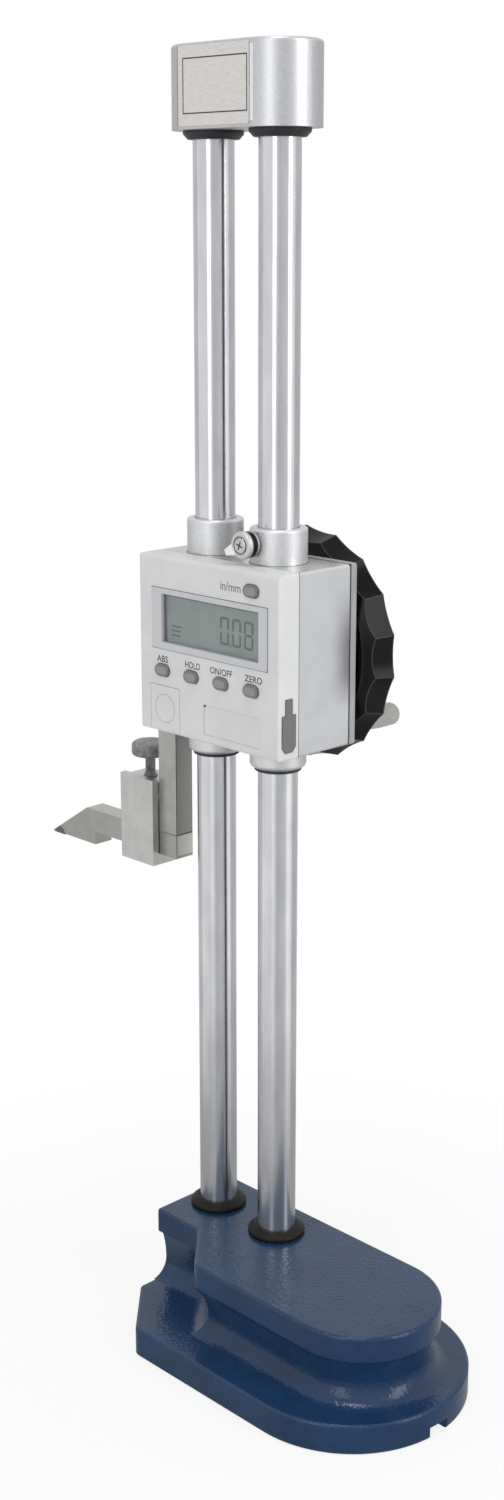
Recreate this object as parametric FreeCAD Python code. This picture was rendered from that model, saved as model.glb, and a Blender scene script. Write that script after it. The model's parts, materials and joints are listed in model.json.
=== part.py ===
"""Twin-column height gauge with a digital head, a drive handwheel and a carbide scriber.

Millimetres. Z points up from the surface plate, X runs along the column line and the display faces -Y.
The origin lies on the surface plate, midway between the two columns.
"""

import FreeCAD, Part
import math
import os

# Columns and the rack in the right-hand one
COLUMN_RADIUS = 7.5
COLUMN_PITCH = 33.5
COLUMN_FREE_LENGTH = 419.6
COLUMN_SEAT_DEPTH = 24.4
COLUMN_CAP_DEPTH = 20.0
GEAR_MODULE = 0.8
PRESSURE_ANGLE = 20.0
GEAR_BACKLASH = 0.12
PINION_TO_COLUMN = 1.0
PINION_WIDTH = 3.4
ENCODER_TEETH = 18
ENCODER_WIDTH = 3.0
ENCODER_PITCHES_UP = 8
RACK_WIDTH = 4.0
RACK_BACKING = 1.15
RACK_SINK = 0.13
RACK_END_MARGIN = 4.0

# Base casting
BASE_HEIGHT = 40.4
PLATE_THICKNESS = 9.7
PLATE_FRONT = 41.9
PLATE_BACK = 18.75
PLATE_TOE = 103.5
TONGUE_LEFT = 29.85
TONGUE_FRONT = 22.5
SHOULDER_LEFT = 5.6
FLANGE_THICKNESS = 12.0
FLANGE_MARGIN = 15.5
FLANGE_TOE_MARGIN = 9.45
HEEL_LEFT = 26.1
HEEL_BEVEL = 22.5
HEEL_BACK_RADIUS = 12.0
WAIST_OVERHANG = 3.8
TONGUE_OVERHANG = 1.6
SHOULDER_OVERHANG = 5.4
COVE_FLARE = 6.9
COVE_FLARE_HEIGHT = 7.8
CAST_EDGE_RADIUS = 1.2
SOLE_EDGE = 0.8
SOLE_GROOVE_WIDTH = 9.4
SOLE_GROOVE_DEPTH = 4.65
SOLE_GROOVE_LENGTH = 22.0
SOLE_POCKET_START = 32.0
SOLE_POCKET_RIM = 13.0
COLUMN_BOLT_RADIUS = 3.0
COLUMN_BOLT_ENGAGEMENT = 14.0
BOLT_HEAD_RADIUS = 5.0
BOLT_HEAD_HEIGHT = 6.0
BOLT_HEAD_SINK = 4.0
BOLT_HEAD_CLEARANCE = 0.6
SOCKET_SHARE = 0.55

# Bumper rings
BUMPER_WALL = 3.75
BUMPER_HEIGHT = 3.2
CAP_RING_WALL = 3.4
CAP_RING_HEIGHT = 3.0

# Top cap
CAP_HEIGHT = 28.6
CAP_HALF_DEPTH = 14.8
CAP_EDGE_RADIUS = 1.3
LABEL_WIDTH = 35.6
LABEL_HEIGHT = 26.6
LABEL_THICKNESS = 0.4
LABEL_SHIFT = -1.1
GRUB_RADIUS = 2.5

# Case of the carriage, at rest
CASE_REST_HEIGHT = 242.4
CASE_HEIGHT = 67.35
CASE_LEFT = 36.3
CASE_RIGHT = 38.85
CASE_FRONT = 21.8
CASE_SPLIT = 11.8
CASE_BACK = 15.0
CASE_FRONT_LEFT_RADIUS = 2.2
CASE_LEFT_CORNER_RADIUS = 2.4
CASE_RIGHT_CORNER_RADIUS = 1.0
CASE_EDGE_RADIUS = 0.9
COVER_WALL = 2.2
BODY_WALL = 6.0
BODY_RIGHT_WALL = 3.5
WEB_THICKNESS = 3.0
SEAM_WIDTH = 0.3
SEAM_DEPTH = 0.25
BACK_PLATE_THICKNESS = 2.9
BACK_PLATE_PROUD = 0.15
CASE_SCREW_RADIUS = 1.25
CASE_SCREW_HEAD_RADIUS = 2.2
CASE_SCREW_HEAD_HEIGHT = 1.4
CASE_SCREW_GRIP = 7.0
COVER_BOSS_RADIUS = 2.6

# Column guides
BUSH_RADIUS = 10.6
BUSH_SPIGOT_RADIUS = 9.0
TOP_BUSH_HEIGHT = 12.95
BOTTOM_BUSH_HEIGHT = 9.4
BUSH_EDGE_RADIUS = 1.1
BOTTOM_BUSH_EDGE_RADIUS = 1.9
BUSH_LIP = 1.0
BUSH_LIP_CLEARANCE = 0.3
LINING_WALL = 0.95
GUIDE_CLEARANCE = 0.05
WIPER_RADIUS = 8.8
WIPER_HEIGHT = 1.1

# Read-out
FRAME_WIDTH = 61.6
FRAME_HEIGHT = 23.2
FRAME_SHIFT = 2.4
FRAME_ABOVE_CASE_BOTTOM = 32.2
FRAME_PROUD = 0.2
FRAME_DEPTH = 1.4
WINDOW_LEFT_MARGIN = 5.5
WINDOW_RIGHT_MARGIN = 4.6
WINDOW_SILL = 2.7
WINDOW_HEAD = 2.15
LENS_THICKNESS = 0.8
LCD_MARGIN = 1.6
BOARD_THICKNESS = 1.6
BOARD_INSET = 3.6
STANDOFF_RADIUS = 2.0
STANDOFF_INSET = 8.7
STANDOFF_LOW = 20.0
STANDOFF_HIGH = 26.0
STANDOFF_DROP = 9.0
BUTTON_WIDTH = 7.5
BUTTON_HEIGHT = 4.65
BUTTON_PROUD = 1.1
BUTTON_PITCH = 15.85
BUTTON_ROW_LEFT = 22.65
BUTTON_ROW_ABOVE = 24.1
UNITS_BUTTON_X = 25.0
UNITS_BUTTON_ABOVE = 60.4
BUTTON_CLEARANCE = 0.15
BUTTON_FLANGE = 0.55
BUTTON_FLANGE_THICKNESS = 0.8
BUTTON_TRAVEL = 0.8
MAT_THICKNESS = 2.0
DOME_RADIUS = 1.7

# Battery, name recess and data port
BATTERY_RADIUS = 5.8
BATTERY_THICKNESS = 5.4
BATTERY_COVER_WIDTH = 16.0
BATTERY_COVER_LEFT = 29.6
BATTERY_COVER_HEIGHT = 18.1
BATTERY_COVER_THICKNESS = 1.2
BATTERY_ABOVE = 9.4
DIMPLE_RADIUS = 5.4
DIMPLE_DEPTH = 0.45
SPRING_THICKNESS = 0.4
NAME_RECESS_LEFT = -0.3
NAME_RECESS_WIDTH = 29.6
NAME_RECESS_HEIGHT = 11.3
NAME_RECESS_ABOVE = 3.3
NAME_RECESS_DEPTH = 0.35
PORT_AHEAD = 16.8
PORT_BODY_WIDTH = 6.8
PORT_BODY_BOTTOM = 5.0
PORT_BODY_TOP = 16.6
PORT_NECK_WIDTH = 3.4
PORT_NECK_TOP = 22.5
PORT_TIP_WIDTH = 3.4
PORT_TIP_BOTTOM = 2.9
PORT_SEAT_DEPTH = 0.6
PORT_PLUG_PROUD = 0.4
PORT_TONGUE_THICKNESS = 2.2
PORT_TONGUE_HEIGHT = 6.4
PORT_TONGUE_REACH = 4.7
PORT_CLEARANCE = 0.15

# Drive
WHEEL_ABOVE_CASE_BOTTOM = 30.9
WHEEL_RADIUS = 46.1
WHEEL_SCALLOPS = 18
SCALLOP_RADIUS = 45.0
SCALLOP_BACK_DEPTH = 0.35
SCALLOP_FRONT_DEPTH = 3.6
RIDGE_ANGLE = 11.5
RIM_BEVEL_WIDTH = 8.0
RIM_BEVEL_DEPTH = 5.6
WHEEL_GAP = 2.5
RIM_WIDTH = 10.7
RIM_INNER_RADIUS = 32.5
DISH_THICKNESS = 3.4
HUB_RADIUS = 10.5
SHAFT_RADIUS = 3.0
SHAFT_CLEARANCE = 0.03
COLLAR_RADIUS = 4.2
BEARING_WALL = 2.0
BEARING_FLANGE = 1.3
BEARING_FLANGE_THICKNESS = 0.5
WHEEL_SCREW_RADIUS = 1.5
WHEEL_SCREW_LENGTH = 7.0
WHEEL_SCREW_HOLE = 8.0
WHEEL_SCREW_HEAD_RADIUS = 4.5
WHEEL_SCREW_HEAD_HEIGHT = 2.4
KNOB_CENTRE_RADIUS = 36.6
KNOB_ANGLE = -50.0
KNOB_RADIUS = 4.4
KNOB_LENGTH = 23.6
KNOB_GAP = 0.4
KNOB_PIN_RADIUS = 1.75
KNOB_PIN_CLEARANCE = 0.08
ENCODER_SHAFT_RADIUS = 1.5
ENCODER_DISC_RADIUS = 8.0
ENCODER_DISC_THICKNESS = 0.6
ENCODER_BOSS_RADIUS = 3.5

# Carriage clamp
CLAMP_INSET = 3.0
CLAMP_AXIS_ABOVE_CASE = 7.35
LEVER_RADIUS = 5.1
LEVER_THICKNESS = 2.0
LEVER_FRONT = 16.65
LEVER_TAIL_REACH = 6.8
LEVER_TAIL_ANGLE = 207.0
LEVER_TAIL_ROOT = 2.7
LEVER_TAIL_TIP = 0.9
LEVER_TAIL_LEAN = 2.3
LEVER_TAIL_THICKNESS = 1.3
CLAMP_SCREW_RADIUS = 2.5
CLAMP_SCREW_HEAD_RADIUS = 2.9
CLAMP_SCREW_HEAD_HEIGHT = 1.5
CLAMP_SCREW_PROUD = 0.4
CLAMP_WASHER_RADIUS = 4.8
CLAMP_WASHER_THICKNESS = 2.45
THRUST_WASHER_THICKNESS = 0.7
CLAMP_BOSS_RADIUS = 3.6
CLAMP_BOSS_INSET = 0.5
CLAMP_SCREW_REACH = 10.4
SHOE_REACH = 4.0
SHOE_CLEARANCE = 0.35

# Measuring jaw, scriber and its clamp
JAW_SEAT_DEPTH = 1.5
JAW_SEAT_CLEARANCE = 0.1
JAW_WIDTH = 10.0
JAW_DEPTH = 8.6
JAW_FRONT = 5.0
JAW_DROP = 47.9
JAW_RISE = 45.6
JAW_FOOT_LENGTH = 18.6
JAW_FOOT_HEIGHT = 8.5
JAW_SCREW_RADIUS = 2.0
JAW_SCREW_HEAD_RADIUS = 3.4
JAW_SCREW_HEAD_HEIGHT = 4.0
JAW_SCREW_PITCH = 13.0
SCRIBER_HEIGHT = 9.5
SCRIBER_SHANK_LENGTH = 50.3
SCRIBER_BLOCK_DROP = 5.7
SCRIBER_REACH = 78.0
SCRIBER_NOSE_HEIGHT = 0.5
SCRIBER_SLOPE_START = 55.4
TIP_LENGTH = 7.9
TIP_RISE = 2.9
TIP_PROUD = 0.3
SCRIBER_FIT = 0.05
CLAMP_GAP = 0.4
CLAMP_BOX_WIDTH = 19.3
CLAMP_CHEEK = 2.9
CLAMP_FLOOR = 4.55
CLAMP_ROOF = 4.6
CLAMP_ROOF_SPACE = 7.0
CLAMP_CHEEK_PROUD = 1.1
CLAMP_TO_JAW = 0.3
SCREW_RADIUS = 2.0
SCREW_HEAD_RADIUS = 7.4
SCREW_HEAD_HEIGHT = 5.6
SCREW_NECK_LENGTH = 8.8
SCREW_COLLAR_RADIUS = 2.9
SCREW_CLEARANCE = 0.05

# Places that follow from the sizes above
LEFT_X = -COLUMN_PITCH / 2
RIGHT_X = COLUMN_PITCH / 2
CAP_BOTTOM = BASE_HEIGHT + COLUMN_FREE_LENGTH
CASE_BOTTOM = CASE_REST_HEIGHT
CASE_TOP = CASE_BOTTOM + CASE_HEIGHT
COVER_INNER = -CASE_FRONT + COVER_WALL
WEB_BACK = -CASE_SPLIT + WEB_THICKNESS
PLATE_OUTER = CASE_BACK + BACK_PLATE_THICKNESS
COLUMN_INNER_X = RIGHT_X - COLUMN_RADIUS
GROOVE_EDGE_X = RIGHT_X - math.sqrt(COLUMN_RADIUS ** 2 - (RACK_WIDTH / 2) ** 2)
RACK_TIP_X = GROOVE_EDGE_X + RACK_SINK
RACK_PITCH_X = RACK_TIP_X + GEAR_MODULE
RACK_ROOT_X = RACK_PITCH_X + 1.25 * GEAR_MODULE
RACK_BACK_X = RACK_ROOT_X + RACK_BACKING
RACK_PITCH = math.pi * GEAR_MODULE
PINION_ROOM = RACK_PITCH_X + COLUMN_INNER_X - GEAR_MODULE - PINION_TO_COLUMN
PINION_TEETH = math.floor(PINION_ROOM / GEAR_MODULE)
PINION_PITCH_RADIUS = GEAR_MODULE * PINION_TEETH / 2
ENCODER_PITCH_RADIUS = GEAR_MODULE * ENCODER_TEETH / 2
WHEEL_X = RACK_PITCH_X - PINION_PITCH_RADIUS
WHEEL_Z = CASE_BOTTOM + WHEEL_ABOVE_CASE_BOTTOM
ENCODER_X = RACK_PITCH_X - ENCODER_PITCH_RADIUS
ENCODER_Z = WHEEL_Z + ENCODER_PITCHES_UP * RACK_PITCH
FRAME_LEFT = FRAME_WIDTH / 2 - FRAME_SHIFT
FRAME_BOTTOM = CASE_BOTTOM + FRAME_ABOVE_CASE_BOTTOM
FRAME_FACE = -CASE_FRONT - FRAME_PROUD
LENS_FACE = FRAME_FACE + FRAME_DEPTH
LCD_FACE = LENS_FACE + LENS_THICKNESS
BOARD_BACK = -CASE_SPLIT - BOARD_THICKNESS
BOARD_FACE = BOARD_BACK - BOARD_THICKNESS
CLAMP_X = RIGHT_X - CLAMP_INSET
CLAMP_Z = CASE_TOP + CLAMP_AXIS_ABOVE_CASE
LEVER_BACK = -LEVER_FRONT + LEVER_THICKNESS
WASHER_FACE = LEVER_BACK + SCREW_CLEARANCE
THRUST_FACE = WASHER_FACE + CLAMP_WASHER_THICKNESS
CLAMP_BOSS_FACE = THRUST_FACE + THRUST_WASHER_THICKNESS
SHOE_FACE = -CLAMP_SCREW_REACH + SCREW_CLEARANCE
WHEEL_FACE = PLATE_OUTER + WHEEL_GAP
RIM_BACK = WHEEL_FACE + RIM_WIDTH
JAW_RIGHT = -CASE_LEFT + JAW_SEAT_DEPTH
JAW_LEFT = JAW_RIGHT - JAW_WIDTH
JAW_BACK = -JAW_FRONT + JAW_DEPTH
JAW_BOTTOM = CASE_BOTTOM - JAW_DROP
SCRIBER_TOP = JAW_BOTTOM - SCRIBER_FIT
SHANK_BOTTOM = SCRIBER_TOP - SCRIBER_HEIGHT
MEASURING_FACE = SHANK_BOTTOM - SCRIBER_BLOCK_DROP
CLAMP_BOX_RIGHT = JAW_LEFT - CLAMP_TO_JAW
CLAMP_BOX_LEFT = CLAMP_BOX_RIGHT - CLAMP_BOX_WIDTH
CLAMP_BOX_X = (CLAMP_BOX_LEFT + CLAMP_BOX_RIGHT) / 2
FOOT_TOP = JAW_BOTTOM + JAW_FOOT_HEIGHT
ROOF_BOTTOM = FOOT_TOP + CLAMP_ROOF_SPACE
ROOF_TOP = ROOF_BOTTOM + CLAMP_ROOF
JAW_MIDDLE_Y = (JAW_BACK - JAW_FRONT) / 2


def vec(x, y, z):
    return FreeCAD.Vector(x, y, z)


def on_xy(z):
    return lambda u, v: vec(u, v, z)


def on_xz(y):
    return lambda u, v: vec(u, y, v)


def on_yz(x):
    return lambda u, v: vec(x, u, v)


def box(x0, x1, y0, y1, z0, z1):
    return Part.makeBox(x1 - x0, y1 - y0, z1 - z0, vec(x0, y0, z0))


def rod_z(x, y, z0, z1, radius):
    return Part.makeCylinder(radius, z1 - z0, vec(x, y, z0), vec(0, 0, 1))


def rod_y(x, z, y0, y1, radius):
    return Part.makeCylinder(radius, y1 - y0, vec(x, y0, z), vec(0, 1, 0))


def rod_x(y, z, x0, x1, radius):
    return Part.makeCylinder(radius, x1 - x0, vec(x0, y, z), vec(1, 0, 0))


def corner_arc(before, corner, after, radius):
    """Start, middle and end of the arc that rounds a corner of an outline."""
    to_before = (before - corner).normalize()
    to_after = (after - corner).normalize()
    half = to_before.getAngle(to_after) / 2
    bisector = (to_before + to_after).normalize()
    start = corner + to_before * (radius / math.tan(half))
    end = corner + to_after * (radius / math.tan(half))
    middle = corner + bisector * (radius / math.sin(half) - radius)
    return start, middle, end


def outline(points, place):
    """Closed wire through points (u, v) or (u, v, corner radius), put in space by place."""
    spots = [place(p[0], p[1]) for p in points]
    radii = [p[2] if len(p) > 2 else 0.0 for p in points]
    stations = []
    for i, corner in enumerate(spots):
        if radii[i] > 0:
            stations.append(corner_arc(spots[i - 1], corner, spots[(i + 1) % len(spots)], radii[i]))
        else:
            stations.append((corner, None, corner))
    edges = []
    for i, (start, middle, end) in enumerate(stations):
        if middle is not None:
            edges.append(Part.Arc(start, middle, end).toShape())
        following = stations[(i + 1) % len(stations)][0]
        if end.distanceToPoint(following) > 1e-6:
            edges.append(Part.LineSegment(end, following).toShape())
    return Part.Wire(Part.__sortEdges__(edges))


def prism(points, place, along):
    return Part.Face(outline(points, place)).extrude(along)


def prism_x(points, x0, x1):
    return prism(points, on_yz(x0), vec(x1 - x0, 0, 0))


def prism_y(points, y0, y1):
    return prism(points, on_xz(y0), vec(0, y1 - y0, 0))


def prism_z(points, z0, z1):
    return prism(points, on_xy(z0), vec(0, 0, z1 - z0))


def turned_z(profile, x, y=0.0):
    """Solid of revolution about a vertical axis, from points (radius, height)."""
    face = Part.Face(outline(profile, lambda r, h: vec(x + r, y, h)))
    return face.revolve(vec(x, y, 0), vec(0, 0, 1), 360)


def turned_y(profile, x, z):
    """Solid of revolution about an axis along Y, from points (radius, depth)."""
    face = Part.Face(outline(profile, lambda r, d: vec(x + r, d, z)))
    return face.revolve(vec(x, 0, z), vec(0, 1, 0), 360)


def slab(x0, x1, z0, z1, y0, y1, radius):
    """Plate facing Y with rounded corners."""
    return prism_y([(x0, z0, radius), (x1, z0, radius), (x1, z1, radius), (x0, z1, radius)], y0, y1)


def fuse_all(shapes):
    result = shapes[0]
    for shape in shapes[1:]:
        result = result.fuse(shape)
    return result.removeSplitter()


def cut_all(shape, tools):
    for tool in tools:
        shape = shape.cut(tool)
    return shape


def hexagon_points(u, v, radius):
    turns = [math.radians(60 * i) for i in range(6)]
    return [(u + radius * math.cos(t), v + radius * math.sin(t)) for t in turns]


def edges_at_height(shape, z):
    return [e for e in shape.Edges if all(abs(v.Point.z - z) < 1e-4 for v in e.Vertexes)]


# Stand


def plate_outline():
    end_radius = (PLATE_FRONT + PLATE_BACK) / 2
    shoulder = PLATE_FRONT - TONGUE_FRONT
    return [
        (-TONGUE_LEFT, PLATE_BACK, 3.0),
        (PLATE_TOE, PLATE_BACK, end_radius),
        (PLATE_TOE, -PLATE_FRONT, end_radius),
        (-SHOULDER_LEFT + shoulder, -PLATE_FRONT, 6.0),
        (-SHOULDER_LEFT, -TONGUE_FRONT, 1.5),
        (-TONGUE_LEFT, -TONGUE_FRONT, 1.5),
    ]


def flange_outline():
    front = PLATE_FRONT + FLANGE_MARGIN
    back = PLATE_BACK + FLANGE_MARGIN
    toe = PLATE_TOE + FLANGE_TOE_MARGIN
    end_radius = (front + back) / 2
    return [
        (-HEEL_LEFT, back, HEEL_BACK_RADIUS),
        (toe, back, end_radius),
        (toe, -front, end_radius),
        (-HEEL_LEFT + HEEL_BEVEL, -front, 5.0),
        (-HEEL_LEFT, -front + HEEL_BEVEL, 2.0),
    ]


def cove_side(flip, place, overhang):
    """Waist wall from the inside out: a flare at the foot, then a long arc out to the plate's outline."""
    low = FLANGE_THICKNESS
    high = BASE_HEIGHT - PLATE_THICKNESS
    inside = -3 * PLATE_FRONT
    turn_v = low + COVE_FLARE_HEIGHT
    foot_radius = (COVE_FLARE_HEIGHT ** 2 + COVE_FLARE ** 2) / (2 * COVE_FLARE)
    foot_turn = math.asin(COVE_FLARE_HEIGHT / foot_radius) / 2
    foot_middle = (
        -overhang + foot_radius - foot_radius * math.cos(foot_turn),
        turn_v - foot_radius * math.sin(foot_turn),
    )
    rise = high - turn_v
    head_radius = (rise ** 2 + overhang ** 2) / (2 * overhang)
    head_turn = math.asin(rise / head_radius) / 2
    head_middle = (
        -overhang + head_radius - head_radius * math.cos(head_turn),
        turn_v + head_radius * math.sin(head_turn),
    )
    p = [place(flip * u, v) for u, v in [
        (inside, low), (COVE_FLARE - overhang, low), foot_middle, (-overhang, turn_v),
        head_middle, (0.0, high), (inside, high),
    ]]
    edges = [
        Part.LineSegment(p[0], p[1]).toShape(),
        Part.Arc(p[1], p[2], p[3]).toShape(),
        Part.Arc(p[3], p[4], p[5]).toShape(),
        Part.LineSegment(p[5], p[6]).toShape(),
        Part.LineSegment(p[6], p[0]).toShape(),
    ]
    return Part.Face(Part.Wire(edges))


def waist_strip(front, overhang, x0, x1):
    """Waist with a cove on its front and back sides, running along X."""
    run = vec(x1 - x0, 0, 0)
    front_side = cove_side(-1, lambda u, v: vec(x0, u - front, v), overhang).extrude(run)
    back_side = cove_side(1, lambda u, v: vec(x0, u + PLATE_BACK, v), WAIST_OVERHANG).extrude(run)
    return front_side.common(back_side)


def waist():
    end_radius = (PLATE_FRONT + PLATE_BACK) / 2
    end_x = PLATE_TOE - end_radius
    end_y = (PLATE_BACK - PLATE_FRONT) / 2
    long_part = waist_strip(PLATE_FRONT, WAIST_OVERHANG, -HEEL_LEFT, end_x)
    root = math.sqrt(0.5)
    reach = 3 * PLATE_FRONT

    def on_shoulder(u, v):
        return vec(-SHOULDER_LEFT - reach * root - u * root, -TONGUE_FRONT + reach * root - u * root, v)

    along = vec(2 * reach * root, -2 * reach * root, 0)
    shoulder = cove_side(1, on_shoulder, SHOULDER_OVERHANG).extrude(along)
    tongue_end = PLATE_FRONT - TONGUE_FRONT - SHOULDER_LEFT
    tongue = waist_strip(TONGUE_FRONT, TONGUE_OVERHANG, -HEEL_LEFT, tongue_end)
    half_end = cove_side(1, lambda u, v: vec(end_x, end_y + end_radius + u, v), WAIST_OVERHANG)
    keep = box(end_x - 1, PLATE_TOE + 50, end_y - 100, end_y + 100, 0, BASE_HEIGHT)
    trimmed = half_end.common(box(end_x - 1, end_x + 1, end_y, end_y + 100, 0, BASE_HEIGHT))
    round_end = trimmed.revolve(vec(end_x, end_y, 0), vec(0, 0, 1), 360).common(keep)
    core_radius = end_radius - WAIST_OVERHANG - 3
    core = rod_z(end_x, end_y, FLANGE_THICKNESS, BASE_HEIGHT - PLATE_THICKNESS, core_radius)
    return fuse_all([long_part.common(shoulder), tongue, round_end, core])


def base_casting():
    plate = prism_z(plate_outline(), BASE_HEIGHT - PLATE_THICKNESS, BASE_HEIGHT)
    plate = plate.makeFillet(CAST_EDGE_RADIUS, edges_at_height(plate, BASE_HEIGHT))
    flange = prism_z(flange_outline(), 0, FLANGE_THICKNESS)
    flange = flange.makeFillet(CAST_EDGE_RADIUS, edges_at_height(flange, FLANGE_THICKNESS))
    flange = flange.makeChamfer(SOLE_EDGE, edges_at_height(flange, 0))
    body = fuse_all([flange, waist(), plate])
    middle_y = (PLATE_BACK - PLATE_FRONT) / 2
    toe = PLATE_TOE + FLANGE_TOE_MARGIN
    pocket_half = PLATE_FRONT + FLANGE_MARGIN + middle_y - SOLE_POCKET_RIM
    pocket = prism_z(
        [
            (SOLE_POCKET_START, middle_y - pocket_half, 6.0),
            (toe - SOLE_POCKET_RIM, middle_y - pocket_half, pocket_half),
            (toe - SOLE_POCKET_RIM, middle_y + pocket_half, pocket_half),
            (SOLE_POCKET_START, middle_y + pocket_half, 6.0),
        ],
        0,
        SOLE_GROOVE_DEPTH,
    )
    half_groove = SOLE_GROOVE_WIDTH / 2
    groove = box(toe - SOLE_GROOVE_LENGTH, toe + 1, middle_y - half_groove, middle_y + half_groove,
                 0, SOLE_GROOVE_DEPTH)
    tools = [pocket, groove]
    seat = BASE_HEIGHT - COLUMN_SEAT_DEPTH
    for x in (LEFT_X, RIGHT_X):
        tools.append(rod_z(x, 0, seat, BASE_HEIGHT + 1, COLUMN_RADIUS))
        tools.append(rod_z(x, 0, 0, seat, COLUMN_BOLT_RADIUS))
        head_space = BOLT_HEAD_SINK + BOLT_HEAD_HEIGHT
        tools.append(rod_z(x, 0, -1, head_space, BOLT_HEAD_RADIUS + BOLT_HEAD_CLEARANCE))
    return cut_all(body, tools)


def column(x):
    bottom = BASE_HEIGHT - COLUMN_SEAT_DEPTH
    top = CAP_BOTTOM + COLUMN_CAP_DEPTH
    bolt_hole = rod_z(x, 0, bottom, bottom + COLUMN_BOLT_ENGAGEMENT, COLUMN_BOLT_RADIUS)
    return rod_z(x, 0, bottom, top, COLUMN_RADIUS).cut(bolt_hole)


def rack_span():
    return BASE_HEIGHT + RACK_END_MARGIN, CAP_BOTTOM - RACK_END_MARGIN


def rack_column():
    low, high = rack_span()
    half = RACK_WIDTH / 2
    groove = box(COLUMN_INNER_X - 1, RACK_BACK_X, -half, half, low, high)
    return column(RIGHT_X).cut(groove)


def rack_strip():
    """Straight rack whose tooth at the wheel's height fills a tooth space of the pinion."""
    low, high = rack_span()
    lean = math.tan(math.radians(PRESSURE_ANGLE))
    tip_half = RACK_PITCH / 4 - GEAR_MODULE * lean
    root_half = RACK_PITCH / 4 + (RACK_ROOT_X - RACK_PITCH_X) * lean
    first = math.ceil((low + root_half - WHEEL_Z) / RACK_PITCH)
    last = math.floor((high - root_half - WHEEL_Z) / RACK_PITCH)
    points = [(RACK_BACK_X, low), (RACK_ROOT_X, low)]
    for i in range(first, last + 1):
        z = WHEEL_Z + i * RACK_PITCH
        points += [(RACK_ROOT_X, z - root_half), (RACK_TIP_X, z - tip_half)]
        points += [(RACK_TIP_X, z + tip_half), (RACK_ROOT_X, z + root_half)]
    points += [(RACK_ROOT_X, high), (RACK_BACK_X, high)]
    half = RACK_WIDTH / 2
    corners = [vec(u, -half, v) for u, v in points]
    return Part.Face(Part.makePolygon(corners + corners[:1])).extrude(vec(0, RACK_WIDTH, 0))


def base_ring(x):
    outer = COLUMN_RADIUS + BUMPER_WALL
    low = BASE_HEIGHT
    high = BASE_HEIGHT + BUMPER_HEIGHT
    waist_r = COLUMN_RADIUS + 0.35 * BUMPER_WALL
    return turned_z(
        [(COLUMN_RADIUS, low), (outer, low), (outer, low + 0.5 * BUMPER_HEIGHT, 1.0),
         (waist_r, high, 0.8), (COLUMN_RADIUS, high)],
        x,
    )


def cap_ring(x):
    outer = COLUMN_RADIUS + CAP_RING_WALL
    high = CAP_BOTTOM
    low = CAP_BOTTOM - CAP_RING_HEIGHT
    inner = COLUMN_RADIUS + 0.5 * CAP_RING_WALL
    return turned_z(
        [(COLUMN_RADIUS, low), (inner, low, 0.5), (outer, high - 0.4 * CAP_RING_HEIGHT, 0.6),
         (outer, high), (COLUMN_RADIUS, high)],
        x,
    )


def column_bolts():
    bolts = []
    seat = BASE_HEIGHT - COLUMN_SEAT_DEPTH
    under_head = BOLT_HEAD_SINK + BOLT_HEAD_HEIGHT
    for x in (LEFT_X, RIGHT_X):
        head = rod_z(x, 0, BOLT_HEAD_SINK, under_head, BOLT_HEAD_RADIUS)
        shank = rod_z(x, 0, under_head, seat + COLUMN_BOLT_ENGAGEMENT - 1, COLUMN_BOLT_RADIUS)
        hexagon = hexagon_points(x, 0, SOCKET_SHARE * BOLT_HEAD_RADIUS)
        socket = prism_z(hexagon, BOLT_HEAD_SINK, BOLT_HEAD_SINK + SOCKET_SHARE * BOLT_HEAD_HEIGHT)
        bolts.append(head.fuse(shank).cut(socket))
    return Part.makeCompound(bolts)


def cap_half_width():
    return COLUMN_PITCH / 2 + CAP_HALF_DEPTH


def top_cap():
    half = cap_half_width()
    r = CAP_HALF_DEPTH
    corners = [(-half, -r, r), (half, -r, r), (half, r, r), (-half, r, r)]
    body = prism_z(corners, CAP_BOTTOM, CAP_BOTTOM + CAP_HEIGHT)
    body = body.makeFillet(CAP_EDGE_RADIUS, edges_at_height(body, CAP_BOTTOM + CAP_HEIGHT))
    tools = []
    for x in (LEFT_X, RIGHT_X):
        tools.append(rod_z(x, 0, CAP_BOTTOM - 1, CAP_BOTTOM + COLUMN_CAP_DEPTH, COLUMN_RADIUS))
        tools.append(rod_y(x, CAP_BOTTOM + COLUMN_CAP_DEPTH / 2, 0, CAP_HALF_DEPTH + 1, GRUB_RADIUS))
    return cut_all(body, tools)


def cap_label_plate():
    x = LABEL_SHIFT
    z = CAP_BOTTOM + CAP_HEIGHT / 2
    return slab(x - LABEL_WIDTH / 2, x + LABEL_WIDTH / 2, z - LABEL_HEIGHT / 2, z + LABEL_HEIGHT / 2,
                -CAP_HALF_DEPTH - LABEL_THICKNESS, -CAP_HALF_DEPTH, 0.6)


def cap_grub_screws():
    z = CAP_BOTTOM + COLUMN_CAP_DEPTH / 2
    return Part.makeCompound(
        [rod_y(x, z, COLUMN_RADIUS, CAP_HALF_DEPTH - 1, GRUB_RADIUS).cut(
            rod_y(x, z, CAP_HALF_DEPTH - 3, CAP_HALF_DEPTH, 0.5 * GRUB_RADIUS)) for x in (LEFT_X, RIGHT_X)]
    )


# Case of the carriage


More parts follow.
